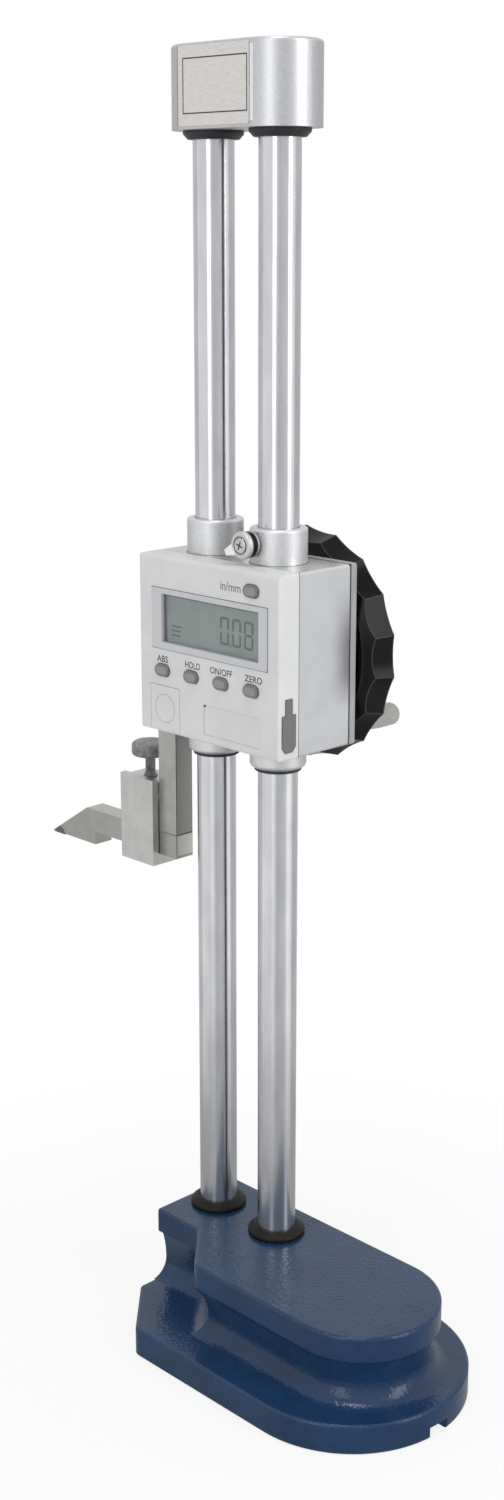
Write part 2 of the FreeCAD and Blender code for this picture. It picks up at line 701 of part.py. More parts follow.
def case_block(inset=0.0):
    """Outer form of the case, or the same form drawn in by a wall."""
    left = -CASE_LEFT + inset
    right = CASE_RIGHT - inset
    front = -CASE_FRONT + inset
    low = CASE_BOTTOM + inset
    high = CASE_TOP - inset
    soft = max(CASE_LEFT_CORNER_RADIUS - inset, 0.3)
    crisp = max(CASE_RIGHT_CORNER_RADIUS - inset, 0.3)
    big = max(CASE_FRONT_LEFT_RADIUS - inset, 0.3)
    edge = max(CASE_EDGE_RADIUS - inset, 0.2)
    elevation = prism_y([(left, low, soft), (right, low, crisp), (right, high, crisp), (left, high, soft)],
                        front, CASE_BACK)
    plan = prism_z([(left, front, big), (right, front, crisp), (right, CASE_BACK), (left, CASE_BACK)],
                   low, high)
    profile = prism_x([(front, low, 1.4 * edge), (CASE_BACK, low), (CASE_BACK, high),
                       (front, high, 2 * edge)],
                      left, right)
    return elevation.common(plan).common(profile)


def ahead_of_split():
    return box(-CASE_LEFT - 1, CASE_RIGHT + 1, -CASE_FRONT - 1, -CASE_SPLIT, CASE_BOTTOM - 1, CASE_TOP + 1)


def cover_screw_places():
    return [
        (LEFT_X + COLUMN_RADIUS + 0.3, CASE_BOTTOM + BODY_WALL + 3.0),
        (RIGHT_X + COLUMN_RADIUS - 0.2, CASE_BOTTOM + BODY_WALL + 3.0),
        (-CASE_LEFT + BODY_WALL + 2.8, CASE_TOP - BODY_WALL - 2.4),
        (CASE_RIGHT - BODY_RIGHT_WALL - 2.4, CASE_TOP - BODY_WALL - 2.4),
    ]


def plate_screw_places():
    inset = BODY_WALL / 2
    return [
        (x, z)
        for x in (-CASE_LEFT + BODY_WALL, CASE_RIGHT - BODY_WALL)
        for z in (CASE_BOTTOM + inset, CASE_TOP - inset)
    ]


def button_places():
    row = CASE_BOTTOM + BUTTON_ROW_ABOVE
    left = -BUTTON_ROW_LEFT
    return {
        "abs_button": (left, row),
        "hold_button": (left + BUTTON_PITCH, row),
        "power_button": (left + 2 * BUTTON_PITCH, row),
        "zero_button": (left + 3 * BUTTON_PITCH, row),
        "units_button": (UNITS_BUTTON_X, CASE_BOTTOM + UNITS_BUTTON_ABOVE),
    }


def pill(x, z, width, height, y0, y1):
    r = height / 2 - 1e-3
    return slab(x - width / 2, x + width / 2, z - height / 2, z + height / 2, y0, y1, r)


def port_outline(clearance):
    mid = -PORT_AHEAD
    body = PORT_BODY_WIDTH / 2 + clearance
    neck = PORT_NECK_WIDTH / 2 + clearance
    tip = PORT_TIP_WIDTH / 2 + clearance
    bottom = CASE_BOTTOM + PORT_TIP_BOTTOM - clearance
    low = CASE_BOTTOM + PORT_BODY_BOTTOM
    high = CASE_BOTTOM + PORT_BODY_TOP + clearance
    top = CASE_BOTTOM + PORT_NECK_TOP + clearance
    return [
        (mid - tip, bottom), (mid + tip, bottom), (mid + body, low), (mid + body, high),
        (mid + neck, high), (mid + neck, top), (mid - neck, top), (mid - neck, high),
        (mid - body, high), (mid - body, low),
    ]


def port_tongue_box(clearance, x0, x1):
    z = CASE_BOTTOM + (PORT_BODY_BOTTOM + PORT_BODY_TOP) / 2
    thick = PORT_TONGUE_THICKNESS / 2 + clearance
    tall = PORT_TONGUE_HEIGHT / 2 + clearance
    return box(x0, x1, -PORT_AHEAD - thick, -PORT_AHEAD + thick, z - tall, z + tall)


def battery_centre():
    return -BATTERY_COVER_LEFT + BATTERY_COVER_WIDTH / 2 - 0.15, CASE_BOTTOM + BATTERY_ABOVE


def battery_cover_region(clearance):
    x0 = -BATTERY_COVER_LEFT
    back = -CASE_FRONT + BATTERY_COVER_THICKNESS + clearance / 2
    return box(x0 - clearance, x0 + BATTERY_COVER_WIDTH + clearance, -CASE_FRONT - 1, back,
               CASE_BOTTOM - 1, CASE_BOTTOM + BATTERY_COVER_HEIGHT + clearance)


def front_cover():
    shell = case_block().common(ahead_of_split()).cut(case_block(COVER_WALL).common(ahead_of_split()))
    adds = [shell]
    for x, z in cover_screw_places():
        adds.append(rod_y(x, z, COVER_INNER - 0.5, -CASE_SPLIT, COVER_BOSS_RADIUS))
    bx, bz = battery_centre()
    half = BATTERY_COVER_WIDTH / 2 + 0.8
    pocket_top = bz + BATTERY_RADIUS + 3.0
    adds.append(box(bx - half, bx + half, COVER_INNER - 0.5, BOARD_BACK, CASE_BOTTOM + 1.5, pocket_top))
    cover = fuse_all(adds)
    frame_top = FRAME_BOTTOM + FRAME_HEIGHT
    tools = [
        slab(-FRAME_LEFT, -FRAME_LEFT + FRAME_WIDTH, FRAME_BOTTOM, frame_top,
             -CASE_FRONT - 1, COVER_INNER + 1, 0.8),
        battery_cover_region(BUTTON_CLEARANCE),
        rod_y(bx, bz, -CASE_FRONT - 1, battery_floor(), BATTERY_RADIUS + 0.2),
        box(NAME_RECESS_LEFT, NAME_RECESS_LEFT + NAME_RECESS_WIDTH,
            -CASE_FRONT - 1, -CASE_FRONT + NAME_RECESS_DEPTH,
            CASE_BOTTOM + NAME_RECESS_ABOVE, CASE_BOTTOM + NAME_RECESS_ABOVE + NAME_RECESS_HEIGHT),
        prism_x(port_outline(0.1), CASE_RIGHT - PORT_SEAT_DEPTH, CASE_RIGHT + 1),
        port_tongue_box(PORT_CLEARANCE, CASE_RIGHT - COVER_WALL - 1, CASE_RIGHT + 1),
    ]
    grow = 2 * BUTTON_CLEARANCE
    for x, z in button_places().values():
        tools.append(pill(x, z, BUTTON_WIDTH + grow, BUTTON_HEIGHT + grow, -CASE_FRONT - 1, COVER_INNER + 1))
    for x, z in cover_screw_places():
        screw_end = -CASE_SPLIT - CASE_SCREW_GRIP + WEB_THICKNESS
        tools.append(rod_y(x, z, screw_end, -CASE_SPLIT, CASE_SCREW_RADIUS))
    return cut_all(cover, tools)


def battery_floor():
    return -CASE_FRONT + BATTERY_COVER_THICKNESS + 0.3 + BATTERY_THICKNESS + SPRING_THICKNESS


def battery_cover():
    bx, bz = battery_centre()
    plate = case_block().common(battery_cover_region(0.0))
    sphere_radius = (DIMPLE_RADIUS ** 2 + DIMPLE_DEPTH ** 2) / (2 * DIMPLE_DEPTH)
    ball = Part.makeSphere(sphere_radius, vec(bx, -CASE_FRONT - sphere_radius + DIMPLE_DEPTH, bz))
    return plate.cut(ball)


def battery_cell():
    bx, bz = battery_centre()
    y0 = -CASE_FRONT + BATTERY_COVER_THICKNESS + 0.3
    return rod_y(bx, bz, y0, y0 + BATTERY_THICKNESS, BATTERY_RADIUS)


def battery_spring():
    bx, bz = battery_centre()
    back = battery_floor()
    leaf = slab(bx - 2.0, bx + 2.0, bz - 0.8 * BATTERY_RADIUS, bz + 0.8 * BATTERY_RADIUS,
                back - SPRING_THICKNESS, back, 0.8)
    return leaf


def carriage_body():
    block = case_block()
    body = block.cut(ahead_of_split())
    seam_slab = box(-CASE_LEFT - 1, CASE_RIGHT + 1, -CASE_SPLIT, -CASE_SPLIT + SEAM_WIDTH,
                    CASE_BOTTOM - 1, CASE_TOP + 1)
    body = body.cut(seam_slab.cut(case_block(SEAM_DEPTH)))
    cavity = box(-CASE_LEFT + BODY_WALL, CASE_RIGHT - BODY_RIGHT_WALL, WEB_BACK, CASE_BACK + 1,
                 CASE_BOTTOM + BODY_WALL, CASE_TOP - BODY_WALL)
    body = body.cut(cavity)
    adds = [body]
    for x, z in standoff_places():
        adds.append(rod_y(x, z, BOARD_BACK, -CASE_SPLIT + 0.5, STANDOFF_RADIUS))
    body = fuse_all(adds)
    tools = [
        rod_y(WHEEL_X, WHEEL_Z, -CASE_SPLIT - 1, WEB_BACK + 1, SHAFT_RADIUS + BEARING_WALL),
        rod_y(ENCODER_X, ENCODER_Z, -CASE_SPLIT - 1, WEB_BACK + 1, ENCODER_SHAFT_RADIUS + SCREW_CLEARANCE),
    ]
    for x in (LEFT_X, RIGHT_X):
        tools.append(rod_z(x, 0, CASE_BOTTOM - 1, CASE_TOP + 1, BUSH_SPIGOT_RADIUS))
    for z in jaw_screw_heights():
        tools.append(rod_x(JAW_MIDDLE_Y, z, -CASE_LEFT - 1, -CASE_LEFT + BODY_WALL, JAW_SCREW_RADIUS))
    gap = JAW_SEAT_CLEARANCE
    tools.append(box(-CASE_LEFT - 1, JAW_RIGHT, -JAW_FRONT - gap, JAW_BACK + gap,
                     CASE_BOTTOM - 1, jaw_top() + gap))
    for x, z in plate_screw_places():
        tools.append(rod_y(x, z, CASE_BACK - CASE_SCREW_GRIP, CASE_BACK + 1, CASE_SCREW_RADIUS))
    for x, z in cover_screw_places():
        tools.append(rod_y(x, z, -CASE_SPLIT - 1, WEB_BACK + 1, CASE_SCREW_RADIUS))
    return cut_all(body, tools)


def standoff_places():
    return [
        (-CASE_LEFT + STANDOFF_INSET + 2.85, CASE_BOTTOM + STANDOFF_HIGH),
        (CASE_RIGHT - STANDOFF_INSET - 3.4, CASE_BOTTOM + STANDOFF_LOW),
        (LEFT_X, CASE_TOP - STANDOFF_DROP),
        (RIGHT_X + 3.0, CASE_TOP - STANDOFF_DROP),
    ]


def back_plate():
    proud = BACK_PLATE_PROUD
    plate = slab(-CASE_LEFT, CASE_RIGHT, CASE_BOTTOM - proud, CASE_TOP + proud, CASE_BACK, PLATE_OUTER, 1.0)
    boss_face = CASE_BACK - 1.6
    adds = [
        plate,
        rod_y(WHEEL_X, WHEEL_Z, boss_face, CASE_BACK + 0.5, SHAFT_RADIUS + BEARING_WALL + 3.0),
        rod_y(ENCODER_X, ENCODER_Z, encoder_boss_face(), CASE_BACK + 0.5, ENCODER_BOSS_RADIUS),
    ]
    body = fuse_all(adds)
    tools = [
        rod_y(WHEEL_X, WHEEL_Z, boss_face - 1, PLATE_OUTER + 1, SHAFT_RADIUS + BEARING_WALL),
        rod_y(ENCODER_X, ENCODER_Z, encoder_boss_face() - 1, encoder_shaft_back() + 0.5,
              ENCODER_SHAFT_RADIUS + SCREW_CLEARANCE),
    ]
    for x, z in plate_screw_places():
        tools.append(rod_y(x, z, CASE_BACK - 1, PLATE_OUTER + 1, CASE_SCREW_RADIUS))
    return cut_all(body, tools)


def screw_along_y(x, z, under_head, end, head_direction):
    """Pan-head screw whose head stands at under_head and whose shank runs to end."""
    top = under_head + head_direction * CASE_SCREW_HEAD_HEIGHT
    head = turned_y(
        [(0, under_head), (CASE_SCREW_HEAD_RADIUS, under_head), (CASE_SCREW_HEAD_RADIUS, top, 0.6), (0, top)],
        x, z,
    )
    shank = rod_y(x, z, min(under_head, end), max(under_head, end), CASE_SCREW_RADIUS)
    return head.fuse(shank)


def case_screws():
    screws = []
    for x, z in plate_screw_places():
        screws.append(screw_along_y(x, z, PLATE_OUTER, CASE_BACK - CASE_SCREW_GRIP + 1, 1))
    for x, z in cover_screw_places():
        screws.append(screw_along_y(x, z, WEB_BACK, WEB_BACK - CASE_SCREW_GRIP + 1, 1))
    return Part.makeCompound(screws)


# Column guides


def top_bush(x):
    high = CASE_TOP + TOP_BUSH_HEIGHT
    bore = COLUMN_RADIUS + GUIDE_CLEARANCE + LINING_WALL
    lip = COLUMN_RADIUS + BUSH_LIP_CLEARANCE
    return turned_z(
        [
            (bore, CASE_TOP - BODY_WALL), (BUSH_SPIGOT_RADIUS, CASE_TOP - BODY_WALL),
            (BUSH_SPIGOT_RADIUS, CASE_TOP), (BUSH_RADIUS, CASE_TOP),
            (BUSH_RADIUS, high, BUSH_EDGE_RADIUS), (lip, high),
            (lip, high - BUSH_LIP), (bore, high - BUSH_LIP),
        ],
        x,
    )


def clamp_bush():
    """Right top bush with the boss that carries the clamp screw."""
    boss = rod_y(CLAMP_X, CLAMP_Z, CLAMP_BOSS_FACE, -SHOE_REACH, CLAMP_BOSS_RADIUS)
    bore = COLUMN_RADIUS + GUIDE_CLEARANCE + LINING_WALL
    boss = boss.cut(rod_z(RIGHT_X, 0, CASE_TOP, CASE_TOP + TOP_BUSH_HEIGHT, bore + CLAMP_BOSS_INSET))
    return fuse_all([top_bush(RIGHT_X), boss]).cut(clamp_bore(CLAMP_BOSS_FACE - 1, -SHOE_REACH))


def bottom_bush(x):
    low = CASE_BOTTOM - BOTTOM_BUSH_HEIGHT
    bore = COLUMN_RADIUS + GUIDE_CLEARANCE + LINING_WALL
    lip = COLUMN_RADIUS + BUSH_LIP_CLEARANCE
    inner = CASE_BOTTOM + BODY_WALL
    return turned_z(
        [
            (bore, inner), (bore, low + BUSH_LIP), (lip, low + BUSH_LIP), (lip, low),
            (BUSH_RADIUS, low, BOTTOM_BUSH_EDGE_RADIUS), (BUSH_RADIUS, CASE_BOTTOM),
            (BUSH_SPIGOT_RADIUS, CASE_BOTTOM), (BUSH_SPIGOT_RADIUS, inner),
        ],
        x,
    )


def tube_z(x, z0, z1, inner, outer):
    return rod_z(x, 0, z0, z1, outer).cut(rod_z(x, 0, z0 - 1, z1 + 1, inner))


def guide_linings():
    inner = COLUMN_RADIUS + GUIDE_CLEARANCE
    outer = inner + LINING_WALL
    spans = [
        (CASE_TOP - BODY_WALL, CASE_TOP + TOP_BUSH_HEIGHT - BUSH_LIP),
        (CASE_BOTTOM - BOTTOM_BUSH_HEIGHT + BUSH_LIP, CASE_BOTTOM + BODY_WALL),
    ]
    tubes = []
    for x in (LEFT_X, RIGHT_X):
        for z0, z1 in spans:
            tubes.append(tube_z(x, z0, z1, inner, outer).cut(clamp_bore(-BUSH_RADIUS, -SHOE_REACH)))
    return Part.makeCompound(tubes)


def wiper_ring(x):
    high = CASE_BOTTOM - BOTTOM_BUSH_HEIGHT
    return tube_z(x, high - WIPER_HEIGHT, high, COLUMN_RADIUS + GUIDE_CLEARANCE, WIPER_RADIUS)


# Read-out


def frame_box(grow):
    return (-FRAME_LEFT + grow, -FRAME_LEFT + FRAME_WIDTH - grow,
            FRAME_BOTTOM + grow, FRAME_BOTTOM + FRAME_HEIGHT - grow)


def display_frame():
    x0, x1, z0, z1 = frame_box(0.1)
    body = slab(x0, x1, z0, z1, FRAME_FACE, LENS_FACE, 0.8)
    left = -FRAME_LEFT + WINDOW_LEFT_MARGIN
    right = -FRAME_LEFT + FRAME_WIDTH - WINDOW_RIGHT_MARGIN
    sill = FRAME_BOTTOM + WINDOW_SILL
    head = FRAME_BOTTOM + FRAME_HEIGHT - WINDOW_HEAD
    hole = slab(left, right, sill, head, FRAME_FACE - 1, LENS_FACE + 1, 0.4)
    return body.cut(hole)


def display_window():
    x0, x1, z0, z1 = frame_box(0.1)
    return slab(x0, x1, z0, z1, LENS_FACE, LCD_FACE, 0.8)


def lcd_module():
    x0, x1, z0, z1 = frame_box(LCD_MARGIN)
    return box(x0, x1, LCD_FACE, BOARD_FACE, z0, z1)


def circuit_board():
    board = slab(-CASE_LEFT + BOARD_INSET, CASE_RIGHT - BOARD_INSET,
                 CASE_BOTTOM + BOARD_INSET, CASE_TOP - BOARD_INSET, BOARD_FACE, BOARD_BACK, 1.0)
    bx, bz = battery_centre()
    half = BATTERY_COVER_WIDTH / 2 + 1.0
    corner = box(-CASE_LEFT, bx + half, BOARD_FACE - 1, BOARD_BACK + 1,
                 CASE_BOTTOM, bz + BATTERY_RADIUS + 3.2)
    tools = [corner]
    for x, z in cover_screw_places():
        tools.append(rod_y(x, z, BOARD_FACE - 1, BOARD_BACK + 1, COVER_BOSS_RADIUS + 0.1))
    return cut_all(board, tools)


def mat_face():
    return BOARD_FACE - MAT_THICKNESS


def button_mat():
    """Rubber sheet with a dome behind each button: one strip for the row, one pad for the upper button."""
    places = button_places()
    half_w = BUTTON_WIDTH / 2 + 1.0
    half_h = BUTTON_HEIGHT / 2 + 0.9
    row = [places[n] for n in places if n != "units_button"]
    ux, uz = places["units_button"]
    pads = [
        slab(row[0][0] - half_w, row[-1][0] + half_w, row[0][1] - half_h, row[0][1] + half_h,
             mat_face(), BOARD_FACE, 0.8),
        slab(ux - half_w, ux + half_w, uz - half_h, uz + half_h, mat_face(), BOARD_FACE, 0.8),
    ]
    solids = []
    for pad, spots in zip(pads, [row, [(ux, uz)]]):
        domes = [rod_y(x, z, dome_top(), mat_face() + 0.2, DOME_RADIUS) for x, z in spots]
        solids.append(fuse_all([pad] + domes))
    return Part.makeCompound(solids)


def dome_top():
    return button_back() + BUTTON_TRAVEL + 0.1


def button_back():
    return COVER_INNER + 0.1 + BUTTON_FLANGE_THICKNESS + 0.4


def button(x, z):
    cap = pill(x, z, BUTTON_WIDTH, BUTTON_HEIGHT, -CASE_FRONT - BUTTON_PROUD, COVER_INNER + 0.2)
    face = -CASE_FRONT - BUTTON_PROUD
    front_edges = [e for e in cap.Edges if all(abs(v.Point.y - face) < 1e-4 for v in e.Vertexes)]
    cap = cap.makeFillet(0.45, front_edges)
    flange_w = BUTTON_WIDTH + 2 * BUTTON_FLANGE
    flange_h = BUTTON_HEIGHT + 2 * BUTTON_FLANGE
    flange = pill(x, z, flange_w, flange_h, COVER_INNER + 0.1, COVER_INNER + 0.1 + BUTTON_FLANGE_THICKNESS)
    stem = rod_y(x, z, COVER_INNER + 0.1, button_back(), DOME_RADIUS)
    return fuse_all([cap, flange, stem])


def encoder_reader():
    x0 = ENCODER_X + 0.4 * ENCODER_DISC_RADIUS
    return box(x0, x0 + 5.0, BOARD_BACK, BOARD_BACK + 0.45, ENCODER_Z - 4.0, ENCODER_Z + 4.0)


def port_socket():
    z0 = CASE_BOTTOM + PORT_BODY_BOTTOM + 0.8
    z1 = CASE_BOTTOM + PORT_BODY_TOP - 0.8
    x1 = CASE_RIGHT - COVER_WALL - 0.2
    body = box(x1 - 5.2, x1, -PORT_AHEAD - 2.2, BOARD_FACE, z0, z1)
    return body.cut(port_tongue_box(PORT_CLEARANCE, CASE_RIGHT - PORT_TONGUE_REACH - 0.8, x1 + 1))


def port_plug():
    face = prism_x(port_outline(0.0), CASE_RIGHT - PORT_SEAT_DEPTH + 0.05, CASE_RIGHT + PORT_PLUG_PROUD)
    tongue = port_tongue_box(0.0, CASE_RIGHT - PORT_TONGUE_REACH, CASE_RIGHT)
    return fuse_all([face, tongue])


# Drive


def gear_outline(teeth, clearance):
    """Involute spur gear profile with a tooth space centred on +u."""
    pitch_r = GEAR_MODULE * teeth / 2
    base_r = pitch_r * math.cos(math.radians(PRESSURE_ANGLE))
    tip_r = pitch_r + GEAR_MODULE
    root_r = pitch_r - 1.25 * GEAR_MODULE
    involute = math.tan(math.radians(PRESSURE_ANGLE)) - math.radians(PRESSURE_ANGLE)
    half_at_pitch = math.pi / (2 * teeth) - clearance / (2 * pitch_r)

    def half_angle(radius):
        roll = math.acos(min(1.0, base_r / radius))
        return half_at_pitch + involute - (math.tan(roll) - roll)

    start_r = max(base_r, root_r)
    radii = [start_r + (tip_r - start_r) * i / 4 for i in range(5)]
    side = [(r, half_angle(r)) for r in radii]
    if root_r < start_r:
        side.insert(0, (root_r, half_angle(start_r)))
    points = []
    for k in range(teeth):
        centre = 2 * math.pi * (k + 0.5) / teeth
        for r, a in side:
            points.append((r * math.cos(centre - a), r * math.sin(centre - a)))
        for r, a in reversed(side):
            points.append((r * math.cos(centre + a), r * math.sin(centre + a)))
    return points


def gear(x, z, teeth, width):
    corners = [vec(x + u, -width / 2, z + v) for u, v in gear_outline(teeth, GEAR_BACKLASH)]
    return Part.Face(Part.makePolygon(corners + corners[:1])).extrude(vec(0, width, 0))


def drive_pinion():
    half = PINION_WIDTH / 2
    return gear(WHEEL_X, WHEEL_Z, PINION_TEETH, PINION_WIDTH).cut(
        rod_y(WHEEL_X, WHEEL_Z, -half - 1, half + 1, SHAFT_RADIUS))


def drive_shaft():
    collar_front = PINION_WIDTH / 2
    collar_back = CASE_BACK - 1.6 - 0.15
    shaft = turned_y(
        [
            (0, -CASE_SPLIT + 0.2), (SHAFT_RADIUS, -CASE_SPLIT + 0.2), (SHAFT_RADIUS, collar_front),
            (COLLAR_RADIUS, collar_front), (COLLAR_RADIUS, collar_back), (SHAFT_RADIUS, collar_back),
            (SHAFT_RADIUS, RIM_BACK), (0, RIM_BACK),
        ],
        WHEEL_X, WHEEL_Z,
    )
    return shaft.cut(rod_y(WHEEL_X, WHEEL_Z, RIM_BACK - WHEEL_SCREW_HOLE, RIM_BACK + 1, WHEEL_SCREW_RADIUS))


def flanged_bearing(barrel_start, barrel_end, flange_outer):
    """Plain bearing whose flange stands between barrel_end and flange_outer."""
    inner = SHAFT_RADIUS + SHAFT_CLEARANCE
    outer = SHAFT_RADIUS + BEARING_WALL
    return turned_y(
        [
            (inner, barrel_start), (outer, barrel_start), (outer, barrel_end),
            (outer + BEARING_FLANGE, barrel_end), (outer + BEARING_FLANGE, flange_outer),
            (inner, flange_outer),
        ],
        WHEEL_X, WHEEL_Z,
    )


def front_shaft_bearing():
    return flanged_bearing(-CASE_SPLIT, WEB_BACK, WEB_BACK + BEARING_FLANGE_THICKNESS)


def rear_shaft_bearing():
    return flanged_bearing(CASE_BACK - 1.6, PLATE_OUTER, PLATE_OUTER + BEARING_FLANGE_THICKNESS)


def scallop_tool(c, s):
    """Leaning round bar that grazes the back edge of the rim and bites deepest at its front."""
    lean = (SCALLOP_FRONT_DEPTH - SCALLOP_BACK_DEPTH) / RIM_WIDTH
    overrun = 2.0 + lean * SCALLOP_RADIUS
    reach = WHEEL_RADIUS - SCALLOP_FRONT_DEPTH + SCALLOP_RADIUS - lean * overrun
    start = vec(WHEEL_X + reach * c, WHEEL_FACE - overrun, WHEEL_Z + reach * s)
    return Part.makeCylinder(SCALLOP_RADIUS, RIM_WIDTH + 2 * overrun, start, vec(lean * c, 1, lean * s))


def handwheel():
    hub_face = PLATE_OUTER + BEARING_FLANGE_THICKNESS + 0.2
    dish_face = RIM_BACK - DISH_THICKNESS
    wheel = turned_y(
        [
            (SHAFT_RADIUS, hub_face), (HUB_RADIUS, hub_face, 0.8), (HUB_RADIUS, dish_face, 2.0),
            (RIM_INNER_RADIUS, dish_face, 2.0), (WHEEL_RADIUS - RIM_BEVEL_WIDTH - 2.0, WHEEL_FACE, 1.0),
            (WHEEL_RADIUS - RIM_BEVEL_WIDTH, WHEEL_FACE, 1.0),
            (WHEEL_RADIUS, WHEEL_FACE + RIM_BEVEL_DEPTH, 2.5),
            (WHEEL_RADIUS, RIM_BACK, 0.8), (SHAFT_RADIUS, RIM_BACK),
        ],
        WHEEL_X, WHEEL_Z,
    )
    tools = []
    for i in range(WHEEL_SCALLOPS):
        turn = math.radians(RIDGE_ANGLE) + 2 * math.pi * (i + 0.5) / WHEEL_SCALLOPS
        tools.append(scallop_tool(math.cos(turn), math.sin(turn)))
    kx, kz = knob_centre()
    tools.append(rod_y(kx, kz, WHEEL_FACE - 1, RIM_BACK + 1, KNOB_PIN_RADIUS))
    return cut_all(wheel, tools)


def knob_centre():
    turn = math.radians(KNOB_ANGLE)
    return WHEEL_X + KNOB_CENTRE_RADIUS * math.cos(turn), WHEEL_Z + KNOB_CENTRE_RADIUS * math.sin(turn)


def wheel_screw():
    top = RIM_BACK + WHEEL_SCREW_HEAD_HEIGHT
    radius = WHEEL_SCREW_HEAD_RADIUS
    head = turned_y([(0, RIM_BACK), (radius, RIM_BACK), (radius, top, 0.9), (0, top)], WHEEL_X, WHEEL_Z)
    shank = rod_y(WHEEL_X, WHEEL_Z, RIM_BACK - WHEEL_SCREW_LENGTH, RIM_BACK, WHEEL_SCREW_RADIUS)
    return head.fuse(shank)


def knob_pin():
    kx, kz = knob_centre()
    end = RIM_BACK + KNOB_GAP + KNOB_LENGTH
    head = KNOB_PIN_RADIUS + 1.0
    return turned_y(
        [
            (0, RIM_BACK - DISH_THICKNESS), (KNOB_PIN_RADIUS, RIM_BACK - DISH_THICKNESS),
            (KNOB_PIN_RADIUS, end - 3.0), (head, end - 3.0), (head, end - 1.6), (0, end - 1.6),
        ],
        kx, kz,
    )


def crank_knob():
    kx, kz = knob_centre()
    start = RIM_BACK + KNOB_GAP
    end = start + KNOB_LENGTH
    bore = KNOB_PIN_RADIUS + KNOB_PIN_CLEARANCE
    head = KNOB_PIN_RADIUS + 1.0 + KNOB_PIN_CLEARANCE
    knob = turned_y(
        [(0, start), (0.78 * KNOB_RADIUS, start, 0.6), (KNOB_RADIUS, start + 0.55 * KNOB_LENGTH),
         (KNOB_RADIUS, end, 0.62 * KNOB_RADIUS), (0, end)],
        kx, kz,
    )
    tools = [
        rod_y(kx, kz, start - 1, end - 2, bore),
        rod_y(kx, kz, end - 3.0 - KNOB_PIN_CLEARANCE, end + 1, head),
    ]
    return cut_all(knob, tools)


def encoder_boss_face():
    return ENCODER_WIDTH / 2 + 3.0


def encoder_shaft_back():
    return encoder_boss_face() + 7.0


def encoder_disc_face():
    return -CASE_SPLIT - 0.35 - ENCODER_DISC_THICKNESS


def encoder_shaft():
    wheel = gear(ENCODER_X, ENCODER_Z, ENCODER_TEETH, ENCODER_WIDTH)
    shaft = rod_y(ENCODER_X, ENCODER_Z, encoder_disc_face() - 0.1, encoder_shaft_back(), ENCODER_SHAFT_RADIUS)
    return fuse_all([wheel, shaft])


def encoder_disc():
    y0 = encoder_disc_face()
    y1 = y0 + ENCODER_DISC_THICKNESS
    disc = rod_y(ENCODER_X, ENCODER_Z, y0, y1, ENCODER_DISC_RADIUS)
    return disc.cut(rod_y(ENCODER_X, ENCODER_Z, y0 - 1, y1 + 1, ENCODER_SHAFT_RADIUS))


# Carriage clamp


def clamp_lever():
    """Round lever head with a short tail that leans forward for the finger."""
    head = turned_y(
        [
            (0, -LEVER_FRONT), (LEVER_RADIUS, -LEVER_FRONT, 0.9),
            (LEVER_RADIUS, LEVER_BACK, 0.3), (0, LEVER_BACK),
        ],
        CLAMP_X, CLAMP_Z,
    )
    tip = -LEVER_FRONT - LEVER_TAIL_LEAN
    start = 0.7 * LEVER_RADIUS
    side_view = prism_z(
        [(start, -LEVER_FRONT + 0.3), (LEVER_TAIL_REACH, tip, 0.4),
         (LEVER_TAIL_REACH, tip + LEVER_TAIL_THICKNESS, 0.4), (start, LEVER_BACK - 0.3)],
        -LEVER_TAIL_ROOT - 1, LEVER_TAIL_ROOT + 1,
    )
    front_view = prism_y(
        [(start - 0.5, -LEVER_TAIL_ROOT), (LEVER_TAIL_REACH, -LEVER_TAIL_TIP, 0.4),
         (LEVER_TAIL_REACH, LEVER_TAIL_TIP, 0.4), (start - 0.5, LEVER_TAIL_ROOT)],
        tip - 1, LEVER_BACK,
    )
    tail = side_view.common(front_view)
    tail.rotate(vec(0, 0, 0), vec(0, 1, 0), -LEVER_TAIL_ANGLE)
    tail.translate(vec(CLAMP_X, 0, CLAMP_Z))
    lever = fuse_all([head, tail])
    tools = [
        rod_y(CLAMP_X, CLAMP_Z, tip - 1, LEVER_BACK + 1, CLAMP_SCREW_RADIUS),
        rod_y(CLAMP_X, CLAMP_Z, tip - 1, screw_shoulder(), CLAMP_SCREW_HEAD_RADIUS + 0.5),
    ]
    return cut_all(lever, tools)


def screw_shoulder():
    return -LEVER_FRONT - CLAMP_SCREW_PROUD + CLAMP_SCREW_HEAD_HEIGHT


def clamp_screw():
    face = -LEVER_FRONT - CLAMP_SCREW_PROUD
    head = turned_y(
        [
            (0, face), (CLAMP_SCREW_HEAD_RADIUS, face, 0.7),
            (CLAMP_SCREW_HEAD_RADIUS, screw_shoulder()), (0, screw_shoulder()),
        ],
        CLAMP_X, CLAMP_Z,
    )
    shank = rod_y(CLAMP_X, CLAMP_Z, screw_shoulder(), -CLAMP_SCREW_REACH, CLAMP_SCREW_RADIUS)
    return head.fuse(shank)


def washer(y0, thickness, radius):
    ring = rod_y(CLAMP_X, CLAMP_Z, y0, y0 + thickness, radius)
    return ring.cut(clamp_bore(y0 - 1, y0 + thickness + 1))


def clamp_bore(y0, y1):
    return rod_y(CLAMP_X, CLAMP_Z, y0, y1, CLAMP_SCREW_RADIUS + SCREW_CLEARANCE)


def clamp_shoe():
    """Brass pad that the screw pushes through the bush wall, hollowed to fit the column."""
    pad = rod_y(CLAMP_X, CLAMP_Z, SHOE_FACE, -SHOE_REACH, CLAMP_SCREW_RADIUS)
    column_space = rod_z(RIGHT_X, 0, CASE_TOP, CASE_TOP + TOP_BUSH_HEIGHT, COLUMN_RADIUS + SHOE_CLEARANCE)
    return pad.cut(column_space)


# Measuring jaw, scriber and scriber clamp


def jaw_top():
    return CASE_BOTTOM + JAW_RISE


def jaw_screw_heights():
    return [jaw_top() - 6.5 - i * JAW_SCREW_PITCH for i in range(3)]


